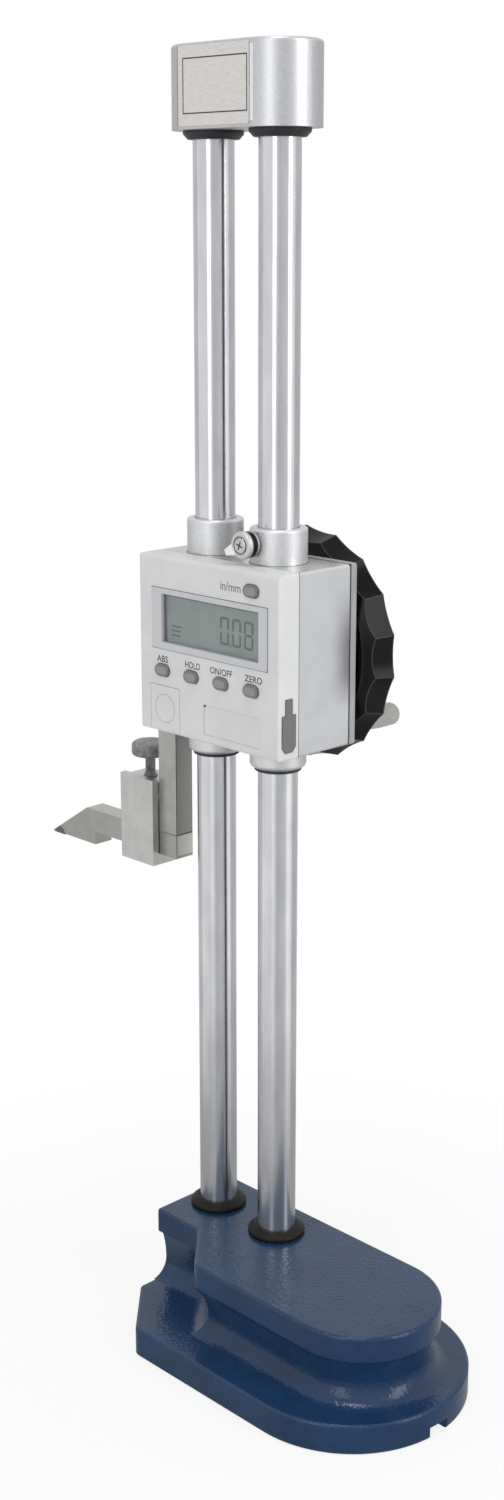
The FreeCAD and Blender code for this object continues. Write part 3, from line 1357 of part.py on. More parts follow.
def measuring_jaw():
    bar = box(JAW_LEFT, JAW_RIGHT, -JAW_FRONT, JAW_BACK, JAW_BOTTOM, jaw_top())
    foot = box(JAW_LEFT - JAW_FOOT_LENGTH, JAW_LEFT + 1, -JAW_FRONT, JAW_BACK, JAW_BOTTOM, FOOT_TOP)
    jaw = fuse_all([bar, foot])
    tools = []
    for z in jaw_screw_heights():
        tools.append(rod_x(JAW_MIDDLE_Y, z, JAW_LEFT - 1, JAW_RIGHT + 1, JAW_SCREW_RADIUS))
        seat = JAW_LEFT + JAW_SCREW_HEAD_HEIGHT
        tools.append(rod_x(JAW_MIDDLE_Y, z, JAW_LEFT - 1, seat, JAW_SCREW_HEAD_RADIUS))
    return cut_all(jaw, tools)


def jaw_screws():
    screws = []
    for z in jaw_screw_heights():
        x0 = JAW_LEFT + 0.3
        x1 = JAW_LEFT + JAW_SCREW_HEAD_HEIGHT
        head = rod_x(JAW_MIDDLE_Y, z, x0, x1, JAW_SCREW_HEAD_RADIUS - 0.15)
        shank = rod_x(JAW_MIDDLE_Y, z, x1, -CASE_LEFT + BODY_WALL - 0.5, JAW_SCREW_RADIUS)
        hexagon = hexagon_points(JAW_MIDDLE_Y, z, SOCKET_SHARE * JAW_SCREW_HEAD_RADIUS)
        screws.append(head.fuse(shank).cut(prism_x(hexagon, x0, x0 + SOCKET_SHARE * JAW_SCREW_HEAD_HEIGHT)))
    return Part.makeCompound(screws)


def scriber_end():
    return JAW_RIGHT - SCRIBER_REACH


def tip_outline():
    """Carbide insert seen from the front: point, sloping top, back face and measuring face."""
    left = scriber_end()
    nose = MEASURING_FACE + SCRIBER_NOSE_HEIGHT
    slope = (SCRIBER_TOP - nose) / (SCRIBER_REACH - SCRIBER_SLOPE_START)
    run = TIP_RISE / slope
    return [
        (left, nose), (left + run, nose + TIP_RISE), (left + TIP_LENGTH - 1.0, nose + TIP_RISE - 1.4),
        (left + TIP_LENGTH, MEASURING_FACE + TIP_PROUD), (left + TIP_LENGTH - 0.2, MEASURING_FACE),
        (left + 1.2, MEASURING_FACE),
    ]


def scriber():
    left = scriber_end()
    nose = MEASURING_FACE + SCRIBER_NOSE_HEIGHT
    right = JAW_RIGHT
    step = right - SCRIBER_SHANK_LENGTH
    slope_start = right - SCRIBER_SLOPE_START
    body = prism_y(
        [
            (left, nose), (left + 1.2, MEASURING_FACE + TIP_PROUD), (step, MEASURING_FACE + TIP_PROUD),
            (step, SHANK_BOTTOM), (right, SHANK_BOTTOM), (right, SCRIBER_TOP), (slope_start, SCRIBER_TOP),
        ],
        -JAW_FRONT, JAW_BACK,
    )
    return body.cut(prism_y(tip_outline(), -JAW_FRONT - 1, JAW_BACK + 1))


def carbide_tip():
    return prism_y(tip_outline(), -JAW_FRONT, JAW_BACK)


def scriber_clamp():
    """Box that wraps the jaw's foot and the scriber shank, with an upstanding front cheek."""
    front = -JAW_FRONT - CLAMP_GAP - CLAMP_CHEEK
    back = JAW_BACK + CLAMP_GAP + CLAMP_CHEEK
    floor_top = SHANK_BOTTOM - SCRIBER_FIT
    floor = floor_top - CLAMP_FLOOR
    block = box(CLAMP_BOX_LEFT, CLAMP_BOX_RIGHT, front, back, floor, ROOF_TOP)
    cheek_top = ROOF_TOP + CLAMP_CHEEK_PROUD
    cheek = box(CLAMP_BOX_LEFT, CLAMP_BOX_RIGHT, front, front + CLAMP_CHEEK, floor, cheek_top)
    tools = [
        box(CLAMP_BOX_LEFT - 1, CLAMP_BOX_RIGHT + 1, -JAW_FRONT - CLAMP_GAP, JAW_BACK + CLAMP_GAP,
            floor_top, ROOF_BOTTOM),
        rod_z(CLAMP_BOX_X, JAW_MIDDLE_Y, ROOF_BOTTOM - 1, ROOF_TOP + 1, SCREW_RADIUS + SCREW_CLEARANCE),
    ]
    return cut_all(fuse_all([block, cheek]), tools)


def scriber_screw():
    tip = FOOT_TOP + SCRIBER_FIT
    collar = ROOF_TOP + 0.2
    head = ROOF_TOP + SCREW_NECK_LENGTH
    top = head + SCREW_HEAD_HEIGHT
    return turned_z(
        [
            (0, tip), (SCREW_RADIUS, tip), (SCREW_RADIUS, collar), (SCREW_COLLAR_RADIUS, collar),
            (SCREW_RADIUS, collar + 1.6), (SCREW_RADIUS, head), (SCREW_HEAD_RADIUS, head, 1.4),
            (SCREW_HEAD_RADIUS, top, 1.8), (0, top),
        ],
        CLAMP_BOX_X, JAW_MIDDLE_Y,
    )


def make_nodes():
    nodes = {
        "base_casting": base_casting(),
        "plain_column": column(LEFT_X),
        "rack_column": rack_column(),
        "rack_strip": rack_strip(),
        "column_bolts": column_bolts(),
        "top_cap": top_cap(),
        "cap_label_plate": cap_label_plate(),
        "cap_grub_screws": cap_grub_screws(),
        "carriage_body": carriage_body(),
        "front_cover": front_cover(),
        "back_plate": back_plate(),
        "case_screws": case_screws(),
        "guide_linings": guide_linings(),
        "display_frame": display_frame(),
        "display_window": display_window(),
        "lcd_module": lcd_module(),
        "circuit_board": circuit_board(),
        "button_mat": button_mat(),
        "encoder_reader": encoder_reader(),
        "battery_cover": battery_cover(),
        "battery_cell": battery_cell(),
        "battery_spring": battery_spring(),
        "port_socket": port_socket(),
        "port_plug": port_plug(),
        "front_shaft_bearing": front_shaft_bearing(),
        "rear_shaft_bearing": rear_shaft_bearing(),
        "drive_shaft": drive_shaft(),
        "drive_pinion": drive_pinion(),
        "handwheel": handwheel(),
        "wheel_screw": wheel_screw(),
        "knob_pin": knob_pin(),
        "crank_knob": crank_knob(),
        "encoder_shaft": encoder_shaft(),
        "encoder_disc": encoder_disc(),
        "clamp_lever": clamp_lever(),
        "clamp_screw": clamp_screw(),
        "clamp_washer": washer(WASHER_FACE, CLAMP_WASHER_THICKNESS, CLAMP_WASHER_RADIUS),
        "thrust_washer": washer(THRUST_FACE, THRUST_WASHER_THICKNESS, CLAMP_WASHER_RADIUS),
        "clamp_shoe": clamp_shoe(),
        "measuring_jaw": measuring_jaw(),
        "jaw_screws": jaw_screws(),
        "scriber": scriber(),
        "carbide_tip": carbide_tip(),
        "scriber_clamp": scriber_clamp(),
        "scriber_screw": scriber_screw(),
    }
    for side, x in (("left", LEFT_X), ("right", RIGHT_X)):
        nodes[side + "_base_ring"] = base_ring(x)
        nodes[side + "_cap_ring"] = cap_ring(x)
        nodes[side + "_top_bush"] = top_bush(x) if x == LEFT_X else clamp_bush()
        nodes[side + "_bottom_bush"] = bottom_bush(x)
        nodes[side + "_wiper_ring"] = wiper_ring(x)
    for name, (x, z) in button_places().items():
        nodes[name] = button(x, z)
    return nodes


def main():
    os.makedirs("parts", exist_ok=True)
    for name, shape in make_nodes().items():
        shape.exportStep("parts/" + name + ".step")


main()
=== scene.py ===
"""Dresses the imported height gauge: finishes on every piece, the fine visible detail, studio and camera.

Metres, Z up, the display faces -Y. Sizes below that are written in millimetres are multiplied by MM.
"""

import json
import math

import bmesh
import bpy
from mathutils import Matrix, Vector


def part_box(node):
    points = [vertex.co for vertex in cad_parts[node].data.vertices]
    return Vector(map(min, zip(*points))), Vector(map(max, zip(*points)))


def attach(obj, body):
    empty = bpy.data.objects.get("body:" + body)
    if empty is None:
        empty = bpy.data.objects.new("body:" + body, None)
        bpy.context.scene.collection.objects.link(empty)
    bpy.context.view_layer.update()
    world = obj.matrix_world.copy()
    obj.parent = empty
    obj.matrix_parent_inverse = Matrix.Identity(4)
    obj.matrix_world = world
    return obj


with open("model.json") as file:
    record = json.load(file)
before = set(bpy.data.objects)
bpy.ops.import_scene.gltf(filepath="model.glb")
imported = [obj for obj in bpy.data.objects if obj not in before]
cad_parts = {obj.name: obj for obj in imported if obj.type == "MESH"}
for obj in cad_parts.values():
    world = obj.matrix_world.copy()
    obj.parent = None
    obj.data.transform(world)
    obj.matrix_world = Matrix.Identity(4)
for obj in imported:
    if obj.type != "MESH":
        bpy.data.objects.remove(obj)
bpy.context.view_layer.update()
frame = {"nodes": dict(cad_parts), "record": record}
nodes = frame["nodes"]
MM = 0.001


# Colours and nodes


def linear(hex_text):
    """An sRGB colour such as #2F4A66 as linear RGBA."""
    channels = [int(hex_text[i:i + 2], 16) / 255 for i in (1, 3, 5)]
    return [c / 12.92 if c <= 0.04045 else ((c + 0.055) / 1.055) ** 2.4 for c in channels] + [1.0]


def add(tree, kind, inputs=None, **settings):
    """Adds a shader node. Each input takes a value, a socket, or a node, whose first output is linked."""
    made = tree.nodes.new("ShaderNode" + kind)
    for name, value in settings.items():
        setattr(made, name, value)
    for name, value in (inputs or {}).items():
        if isinstance(value, bpy.types.Node):
            value = value.outputs[0]
        if isinstance(value, bpy.types.NodeSocket):
            tree.links.new(value, made.inputs[name])
        else:
            made.inputs[name].default_value = value
    return made


def start_finish(name):
    """An empty material, with its node tree and the object's own coordinates."""
    material = bpy.data.materials.new(name)
    material.use_nodes = True
    tree = material.node_tree
    tree.nodes.clear()
    return material, tree, add(tree, "TexCoord").outputs["Object"]


def surface(tree, inputs):
    """Ends a finish with the shader that these inputs describe."""
    add(tree, "OutputMaterial", {"Surface": add(tree, "BsdfPrincipled", inputs)})


def mottle(tree, place, size, detail=2.0, rough=0.5, along=(1.0, 1.0, 1.0)):
    """Irregular pattern about this many millimetres across, drawn out on the axes that are scaled down."""
    scaled = add(tree, "Mapping", {"Vector": place, "Scale": along})
    inputs = {"Vector": scaled, "Scale": 1 / (size * MM), "Detail": detail, "Roughness": rough}
    return add(tree, "TexNoise", inputs)


def two_tone(tree, pattern, dark, light, low=0.35, high=0.65):
    """Dark where the pattern is under low, light where it is over high."""
    share = add(tree, "MapRange", {"Value": pattern, "From Min": low, "From Max": high})
    return add(tree, "MixRGB", {"Fac": share, "Color1": linear(dark), "Color2": linear(light)})


def skin(tree, pattern, depth, edge):
    """Relief of this depth over edges rounded by this much, as deburring does, both in millimetres."""
    soft = add(tree, "Bevel", {"Radius": edge * MM}, samples=4)
    return add(tree, "Bump", {"Height": pattern, "Distance": depth * MM, "Normal": soft})


def facing(tree, axis):
    """One on faces that look along this axis, zero on the others."""
    along = add(tree, "SeparateXYZ", {"Vector": add(tree, "TexCoord").outputs["Normal"]}).outputs[axis]
    return add(tree, "MapRange", {"Value": along, "From Min": 0.8, "From Max": 0.95})


def between(tree, value, edges):
    """One between the inner two of four positions in millimetres, and zero outside the outer two."""
    start, full, wane, end = (edge * MM for edge in edges)
    smooth = {"interpolation_type": "SMOOTHSTEP"}
    rise = add(tree, "MapRange", {"Value": value, "From Min": start, "From Max": full}, **smooth)
    fall = add(tree, "MapRange", {"Value": value, "From Min": end, "From Max": wane}, **smooth)
    return add(tree, "Math", {0: rise, 1: fall}, operation="MULTIPLY")


# Finishes


def cast_enamel(name):
    """Brushed-on gloss enamel on cast iron: thick, with an orange peel of about 2 mm and a few specks."""
    material, tree, place = start_finish(name)
    peel = mottle(tree, place, 1.5, 1.5)
    grit = mottle(tree, place, 0.7)
    clouds = mottle(tree, place, 18.0, 3.0)
    coarse = skin(tree, peel, 0.17, 0.8)
    surface(tree, {
        "Base Color": two_tone(tree, clouds, "#173759", "#1D4063"),
        "Roughness": add(tree, "MapRange", {"Value": grit, "To Min": 0.20, "To Max": 0.34}),
        "Normal": add(tree, "Bump", {"Height": grit, "Distance": 0.06 * MM, "Normal": coarse}),
        "Coat Normal": coarse,
        "IOR": 1.5,
        "Specular IOR Level": 0.12,
        "Coat Weight": 0.5,
        "Coat Roughness": 0.08,
    })
    return material


def ground_chrome(name):
    """Hard chrome, centreless ground and polished: near mirror with fine rings around the shaft."""
    material, tree, place = start_finish(name)
    rings = mottle(tree, place, 0.5, 3.0, along=(0.02, 0.02, 1.0))
    film = mottle(tree, place, 6.0, along=(1.0, 1.0, 0.25))
    surface(tree, {
        "Base Color": two_tone(tree, film, "#CDCED3", "#D9DADD"),
        "Roughness": add(tree, "MapRange", {"Value": rings, "To Min": 0.17, "To Max": 0.25}),
        "Normal": add(tree, "Bump", {"Height": rings, "Distance": 0.003 * MM}),
        "Metallic": 1.0,
        "Anisotropic": 0.8,
        "Anisotropic Rotation": 0.25,
    })
    return material


def turned_satin(name, dark, light, rough):
    """Turned and satin-plated alloy: soft sheen with fine turning lines around Z."""
    material, tree, place = start_finish(name)
    lines = mottle(tree, place, 0.35, along=(0.05, 0.05, 1.0))
    grain = mottle(tree, place, 0.6, 3.0)
    turned = skin(tree, lines, 0.006, 0.25)
    surface(tree, {
        "Base Color": two_tone(tree, grain, dark, light),
        "Roughness": add(tree, "MapRange", {"Value": grain, "To Min": rough - 0.05, "To Max": rough + 0.07}),
        "Normal": add(tree, "Bump", {"Height": grain, "Distance": 0.008 * MM, "Normal": turned}),
        "Metallic": 1.0,
    })
    return material


def brushed_plate(name):
    """Stainless label sheet, brushed along X, with the slight waviness of thin sheet on glue."""
    material, tree, place = start_finish(name)
    brush = mottle(tree, place, 0.22, 3.0, along=(0.08, 1.0, 1.0))
    wave = mottle(tree, place, 9.0, 1.0)
    sheet = skin(tree, wave, 0.10, 0.15)
    surface(tree, {
        "Base Color": two_tone(tree, brush, "#D2CFCC", "#E4E1DE"),
        "Roughness": add(tree, "MapRange", {"Value": brush, "To Min": 0.30, "To Max": 0.48}),
        "Normal": add(tree, "Bump", {"Height": brush, "Distance": 0.004 * MM, "Normal": sheet}),
        "Metallic": 0.9,
    })
    return material


def textured_paint(name, dark, light):
    """Stoved light grey paint with the fine spray texture of an instrument case."""
    material, tree, place = start_finish(name)
    spray = mottle(tree, place, 0.45)
    surface(tree, {
        "Base Color": two_tone(tree, mottle(tree, place, 14.0), dark, light),
        "Roughness": add(tree, "MapRange", {"Value": spray, "To Min": 0.37, "To Max": 0.50}),
        "Normal": skin(tree, spray, 0.010, 0.4),
        "IOR": 1.5,
    })
    return material


# Where painted shade darkens the case's right side beside the handwheel, in millimetres along Y and Z
SIDE_SHADE_DEPTH = (3.0, 17.0, 30.0, 31.0)
SIDE_SHADE_HEIGHT = (254.0, 272.0, 279.0, 305.0)


def satin_case(name):
    """Satin metallic case, with painted shade: a darker top, and a dark band on the side by the handwheel.
    """
    material, tree, place = start_finish(name)
    grain = mottle(tree, place, 0.5)
    up = facing(tree, "Z")
    parts = add(tree, "SeparateXYZ", {"Vector": place})
    # Mask of the painted shade on the case's right side beside the handwheel
    deep = between(tree, parts.outputs["Y"], SIDE_SHADE_DEPTH)
    tall = between(tree, parts.outputs["Z"], SIDE_SHADE_HEIGHT)
    painted_side_shade = add(tree, "Math", {0: deep, 1: tall}, operation="MULTIPLY")
    side_shade_share = add(tree, "MapRange", {"Value": painted_side_shade, "To Max": 0.8})
    plated = two_tone(tree, mottle(tree, place, 14.0), "#D8DADD", "#DEE0E3")
    painted_tone = add(tree, "MixRGB", {"Fac": side_shade_share, "Color1": plated, "Color2": linear("#4C4D50")})
    base_rough = add(tree, "MapRange", {"Value": up, "To Min": 0.15, "To Max": 0.24})
    grain_rough = add(tree, "MapRange", {"Value": grain, "To Max": 0.06})
    # Painted shade: the top faces take a darker grey, and are more metallic and rougher than the sides
    surface(tree, {
        "Base Color": add(tree, "MixRGB", {"Fac": up, "Color1": painted_tone, "Color2": linear("#C8C8C7")}),
        "Metallic": add(tree, "MapRange", {"Value": up, "To Min": 0.86, "To Max": 1.0}),
        "Roughness": add(tree, "Math", {0: base_rough, 1: grain_rough}, operation="ADD"),
        "Normal": skin(tree, grain, 0.002, 0.4),
    })
    return material


def moulded_plastic(name, dark, light, rough, texture=0.5, edge=0.25):
    """Injection-moulded plastic: even colour, faint mould texture, soft edges."""
    material, tree, place = start_finish(name)
    mould = mottle(tree, place, texture)
    surface(tree, {
        "Base Color": two_tone(tree, mould, dark, light),
        "Roughness": add(tree, "MapRange", {"Value": mould, "To Min": rough - 0.03, "To Max": rough + 0.05}),
        "Normal": skin(tree, mould, 0.006, edge),
        "IOR": 1.49,
    })
    return material


def gloss_moulding(name):
    """Black polished phenolic handwheel: a slight sink, fine scratches, and painted highlights on its edges.
    """
    material, tree, place = start_finish(name)
    sink = mottle(tree, place, 11.0, 1.0)
    scuff = mottle(tree, place, 0.8, 4.0, 0.7, along=(1.0, 0.3, 1.0))
    soft = add(tree, "Bevel", {"Radius": 0.7 * MM}, samples=4)
    flat = add(tree, "NewGeometry").outputs["Normal"]
    same = add(tree, "VectorMath", {0: soft, 1: flat}, operation="DOT_PRODUCT").outputs["Value"]
    # Painted highlight: paler grey along sharp edges, where the rounded normal turns from the flat one
    edge = add(tree, "MapRange", {"Value": same, "From Min": 0.998, "From Max": 0.975})
    black = two_tone(tree, scuff, "#060708", "#0D0E10")
    surface(tree, {
        "Base Color": add(tree, "MixRGB", {"Fac": edge, "Color1": black, "Color2": linear("#50545A")}),
        "Roughness": add(tree, "MapRange", {"Value": scuff, "To Min": 0.10, "To Max": 0.26}),
        "Normal": add(tree, "Bump", {"Height": sink, "Distance": 0.10 * MM, "Normal": soft}),
        "IOR": 1.5,
        "Specular IOR Level": 0.14,
    })
    return material


def cured_rubber(name, dark, light, shine=0.5):
    """Moulded rubber: matte, slightly bloomed."""
    material, tree, place = start_finish(name)
    bloom = mottle(tree, place, 2.5, 4.0)
    surface(tree, {
        "Base Color": two_tone(tree, bloom, dark, light),
        "Roughness": add(tree, "MapRange", {"Value": bloom, "To Min": 0.38, "To Max": 0.62}),
        "Normal": skin(tree, bloom, 0.05, 0.3),
        "IOR": 1.52,
        "Specular IOR Level": shine,
    })
    return material


def ground_steel(name, dark, light, rough, along=(1.0, 1.0, 0.08), **painted_light_by_axis):
    """Surface-ground steel: fine grinding lines, a stain here and there, painted light and shade by facing
    axis.
    """
    material, tree, place = start_finish(name)
    lines = mottle(tree, place, 0.28, 3.0, 0.6, along)
    stained = two_tone(tree, mottle(tree, place, 7.0, 3.0), dark, light)
    ground = two_tone(tree, lines, dark, light, 0.3, 0.7)
    tone = add(tree, "MixRGB", {"Fac": 0.5, "Color1": stained, "Color2": ground})
    # Painted light and shade: faces that look along a given axis take that axis's grey
    for axis, shade in painted_light_by_axis.items():
        tone = add(tree, "MixRGB", {"Fac": facing(tree, axis), "Color1": tone, "Color2": linear(shade)})
    surface(tree, {
        "Base Color": tone,
        "Roughness": add(tree, "MapRange", {"Value": lines, "To Min": rough - 0.06, "To Max": rough + 0.10}),
        "Normal": skin(tree, lines, 0.006, 0.2),
        "Metallic": 0.9,
    })
    return material


# The diamond knurl is drawn at this pitch in millimetres so that it shows
KNURL_PITCH = 0.9
KNURLS_AROUND = 52.0


def knurled_steel(name, dark, light):
    """Blackened steel head, whose rim is rolled with a fine diamond knurl."""
    material, tree, place = start_finish(name)
    low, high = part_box("scriber_screw")
    axis = tuple((low + high) / 2)
    centred = add(tree, "VectorMath", {0: place, 1: axis}, operation="SUBTRACT")
    parts = add(tree, "SeparateXYZ", {"Vector": centred})
    turn = add(tree, "Math", {0: parts.outputs["Y"], 1: parts.outputs["X"]}, operation="ARCTAN2")
    around = add(tree, "Math", {0: turn, 1: KNURLS_AROUND}, operation="MULTIPLY")
    per_metre = 2 * math.pi / (KNURL_PITCH * MM)
    up = add(tree, "Math", {0: parts.outputs["Z"], 1: per_metre}, operation="MULTIPLY")
    waves = {}
    for i, way in enumerate(("ADD", "SUBTRACT")):
        crossing = add(tree, "Math", {0: around, 1: up}, operation=way)
        waves[i] = add(tree, "Math", {0: crossing}, operation="SINE")
    diamonds = add(tree, "Math", waves, operation="MAXIMUM")
    stain = mottle(tree, place, 1.4, 3.0)
    surface(tree, {
        "Base Color": two_tone(tree, stain, dark, light),
        "Roughness": add(tree, "MapRange", {"Value": stain, "To Min": 0.30, "To Max": 0.48}),
        "Normal": skin(tree, diamonds, 0.10, 0.35),
        "Metallic": 0.9,
    })
    return material


def clear_pane(name):
    """Polycarbonate window: clear, faintly cool, with a hint of wipe marks."""
    material, tree, place = start_finish(name)
    wipe = mottle(tree, place, 3.0, 3.0, along=(0.2, 1.0, 1.0))
    surface(tree, {
        "Base Color": linear("#DDE4E2"),
        "Roughness": add(tree, "MapRange", {"Value": wipe, "To Min": 0.04, "To Max": 0.10}),
        "Alpha": 0.14,
    })
    return material


def liquid_crystal(name):
    """Reflective twisted-nematic panel: grey-green, a little uneven behind its polariser."""
    material, tree, place = start_finish(name)
    cell = mottle(tree, place, 9.0, 1.0)
    surface(tree, {"Base Color": two_tone(tree, cell, "#C6D3D2", "#D0DDDC"), "Roughness": 0.45})
    return material


def ink_and_painted_light(name, colour, rough=0.6):
    """Pad-printed ink, also used for painted light and shade: flat colour whose gloss varies a little."""
    material, tree, place = start_finish(name)
    gloss = {"Value": mottle(tree, place, 0.3), "To Min": rough - 0.05, "To Max": rough + 0.1}
    surface(tree, {"Base Color": linear(colour), "Roughness": add(tree, "MapRange", gloss)})
    return material


def board_mask(name):
    """Green solder mask with faint tracks under it, 3 mm apart."""
    material, tree, place = start_finish(name)
    tracks = add(tree, "TexVoronoi", {"Vector": place, "Scale": 1 / (3.0 * MM)}, distance="CHEBYCHEV")
    surface(tree, {"Base Color": two_tone(tree, tracks, "#1C5A33", "#14482A"), "Roughness": 0.3})
    return material


NO_GRAIN = (1.0, 1.0, 1.0)
FINISHES = {
    "base_enamel": cast_enamel("dark_blue_enamel"),
    "column_chrome": ground_chrome("ground_hard_chrome"),
    "rack_steel": ground_steel("milled_rack_steel", "#6A6A6A", "#8A8988", 0.34),
    "ring_rubber": cured_rubber("black_nitrile", "#121518", "#1B2024"),
    "base_ring_rubber": cured_rubber("brown_black_rubber", "#0B0908", "#16110F", 0.22),
    "satin_silver": turned_satin("satin_turned_alloy", "#D0D1D3", "#DEDFE1", 0.46),
    "label_metal": brushed_plate("brushed_label_sheet"),
    "case_grey": satin_case("satin_case"),
    "cover_grey": textured_paint("cover_paint", "#DFE0E0", "#E5E6E6"),
    "plate_grey": textured_paint("back_plate_paint", "#A2A2A3", "#ACACAD"),
    "display_silver": moulded_plastic("silver_bezel", "#CDCED3", "#D5D6DA", 0.32),
    "window_clear": clear_pane("clear_window"),
    "lcd_grey": liquid_crystal("lcd_panel"),
    "board_green": board_mask("solder_mask"),
    # The buttons' grey is darkened as painted shade around their lighter painted faces
    "button_grey": moulded_plastic("grey_button_shaded", "#767676", "#808080", 0.38, edge=0.4),
    "mat_rubber": cured_rubber("silicone_mat", "#A8A8A6", "#B4B4B2"),
    "plug_rubber": moulded_plastic("grey_port_plug", "#6E6E6E", "#787878", 0.5),
    "black_plastic": gloss_moulding("black_phenolic"),
    "knob_white": moulded_plastic("off_white_knob", "#A2A4A0", "#AEB0AC", 0.25, 1.5),
    "ground_steel": ground_steel("ground_tool_steel", "#B9B9B7", "#CDCDCB", 0.36),
    "bright_steel": ground_steel("bright_steel", "#BDBBB8", "#D2D0CD", 0.22, NO_GRAIN),
    "dark_steel": ground_steel("blackened_steel", "#2C2C2D", "#3E3E40", 0.36, NO_GRAIN),
    "knurl_steel": knurled_steel("knurled_head", "#7A7978", "#A09F9D"),
    "carbide": ground_steel("ground_carbide", "#5F5D58", "#73716C", 0.26, (0.1, 1.0, 1.0)),
    "bearing_bronze": ground_steel("sintered_bronze", "#9A7436", "#B98F4C", 0.4, NO_GRAIN),
    "lining_polymer": moulded_plastic("lining_polymer", "#2E2E2C", "#3A3A37", 0.5),
    "cast_silver": turned_satin("cast_satin_silver", "#C6C7C8", "#D4D5D6", 0.48),
    "encoder_plastic": moulded_plastic("encoder_disc", "#5A5E63", "#6A6E73", 0.2),
    "cell_steel": ground_steel("cell_can", "#C0BEBB", "#D5D3D0", 0.22, NO_GRAIN),
}
# Pieces whose finish differs from that of the others in their slot
OWN_FINISHES = {
    "top_cap": turned_satin("satin_cap", "#C0C1C4", "#CCCDD0", 0.40),
    # The jaw's end faces are painted a darker grey, as painted shade
    "measuring_jaw": ground_steel("jaw_steel_shaded_end", "#A2A29F", "#B8B8B5", 0.4, X="#949491"),
    # The scriber's top faces are painted a lighter grey, as painted light
    "scriber": ground_steel("lapped_scriber_steel_lit_top", "#9B9B98", "#ABABA7", 0.36, Z="#B7B7B2"),
}
# Inks for print; the same flat colours also serve as painted shade and painted highlight on the pieces below
DARK_INK_AND_SHADE = ink_and_painted_light("dark_grey_ink_and_shade", "#3E3F43")
PALE_INK_AND_SHADE = ink_and_painted_light("pale_grey_ink_and_shade", "#7F8084")
BLACK_INK_AND_SHADE = ink_and_painted_light("black_ink_and_shade", "#3A3A3C")
SEGMENT_INK = ink_and_painted_light("dark_segments", "#4A5450", 0.45)
PANEL_SHADE = ink_and_painted_light("panel_edge", "#5D6662")
RIM_SHADE = ink_and_painted_light("dimple_rim", "#B9BABA", 0.5)
PAINTED_SHEET_GLINT = ink_and_painted_light("painted_sheet_glint", "#F6F6F6", 0.3)
# Lighter copies of two finishes, as painted light: the buttons' faces and the scriber's end
LIT_BUTTON_FACE = moulded_plastic("painted_lit_button_face", "#8F8F8F", "#9A9A9A", 0.34, edge=0.1)
END_HIGHLIGHT = ground_steel("ground_end_highlight", "#C3C3BE", "#CFCFCA", 0.4)


def paint(piece, material):
    piece.data.materials.clear()
    piece.data.materials.append(material)


slot_of = {s["node"]: s["material_slot"] for s in frame["record"]["subparts"]}
for node_name, node_object in nodes.items():
    paint(node_object, OWN_FINISHES.get(node_name, FINISHES[slot_of[node_name]]))


# Building new pieces


def corners(node):
    """Lowest and highest corner of a node's box in millimetres."""
    return [[c / MM for c in corner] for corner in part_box(node)]


def middle(node):
    """X and Z of the middle of a node, and the Y of its front, in millimetres."""
    low, high = corners(node)
    return (low[0] + high[0]) / 2, (low[2] + high[2]) / 2, low[1]


def new_piece(name, bm, material, body):
    """Makes an object of a bmesh, paints it, and lets it ride on a body."""
    mesh = bpy.data.meshes.new(name)
    bm.to_mesh(mesh)
    bm.free()
    piece = bpy.data.objects.new(name, mesh)
    bpy.context.scene.collection.objects.link(piece)
    paint(piece, material)
    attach(piece, body)


def bar(bm, x0, x1, y0, y1, z0, z1):
    """Adds a block between these millimetre limits."""
    centre = Vector(((x0 + x1) / 2, (y0 + y1) / 2, (z0 + z1) / 2)) * MM
    size = Matrix.Diagonal(((x1 - x0) * MM, (y1 - y0) * MM, (z1 - z0) * MM, 1.0))
    return bmesh.ops.create_cube(bm, size=1.0, matrix=Matrix.Translation(centre) @ size)["verts"]


def blocks(*limits):
    """A bmesh of one bar for each row of limits."""
    bm = bmesh.new()
    for row in limits:
        bar(bm, *row)
    return bm


def band(bm, rims, outward):
    """Closes the flat band between two rims, with its faces outward."""
    edges = list(dict.fromkeys(edge for rim in rims for vert in rim for edge in vert.link_edges))
    made = bmesh.ops.bridge_loops(bm, edges=edges)["faces"]
    bm.normal_update()
    bmesh.ops.reverse_faces(bm, faces=[face for face in made if face.normal.dot(outward) < 0])


FRONT = Vector((0, -1, 0))
UP = Vector((0, 0, 1))
PILL_SIDES = 32
RING_SIDES = 64
UPRIGHT = Matrix.Rotation(math.pi / 2, 4, "X") @ Matrix.Rotation(math.pi / PILL_SIDES, 4, "Z")


def pill(bm, x, y, z, wide, tall, filled=False):
    """Outline of an upright pill shape in millimetres, or its face, seen from the front."""
    radius = tall / 2 * MM
    made = bmesh.ops.create_circle(bm, cap_ends=filled, segments=PILL_SIDES, radius=radius, matrix=UPRIGHT)
    verts = made["verts"]
    for vert in verts:
        vert.co.x += math.copysign(wide / 2 * MM - radius, vert.co.x)
    bmesh.ops.translate(bm, verts=verts, vec=Vector((x, y, z)) * MM)
    return verts


def pill_ring(bm, x, y, z, wide, tall, line):
    """Flat line of this width around a pill shape."""
    band(bm, [pill(bm, x, y, z, wide + grown, tall + grown) for grown in (0, 2 * line)], FRONT)


def level_ring(bm, x, z, inner, outer):
    """Flat level ring around a column at x, seen from above."""
    place = Matrix.Translation(Vector((x, 0, z)) * MM)
    rims = [bmesh.ops.create_circle(bm, segments=RING_SIDES, radius=radius * MM, matrix=place)["verts"]
            for radius in (inner, outer)]
    band(bm, rims, UP)


# How far a print, or a flat face without thickness, stands off what is under it
INK_FILM, THIN_FILM = 0.02, 0.01
cover_low, cover_high = corners("front_cover")
cover_face = cover_low[1]
case_bottom, case_top = cover_low[2], cover_high[2]
case_side = cover_high[0]


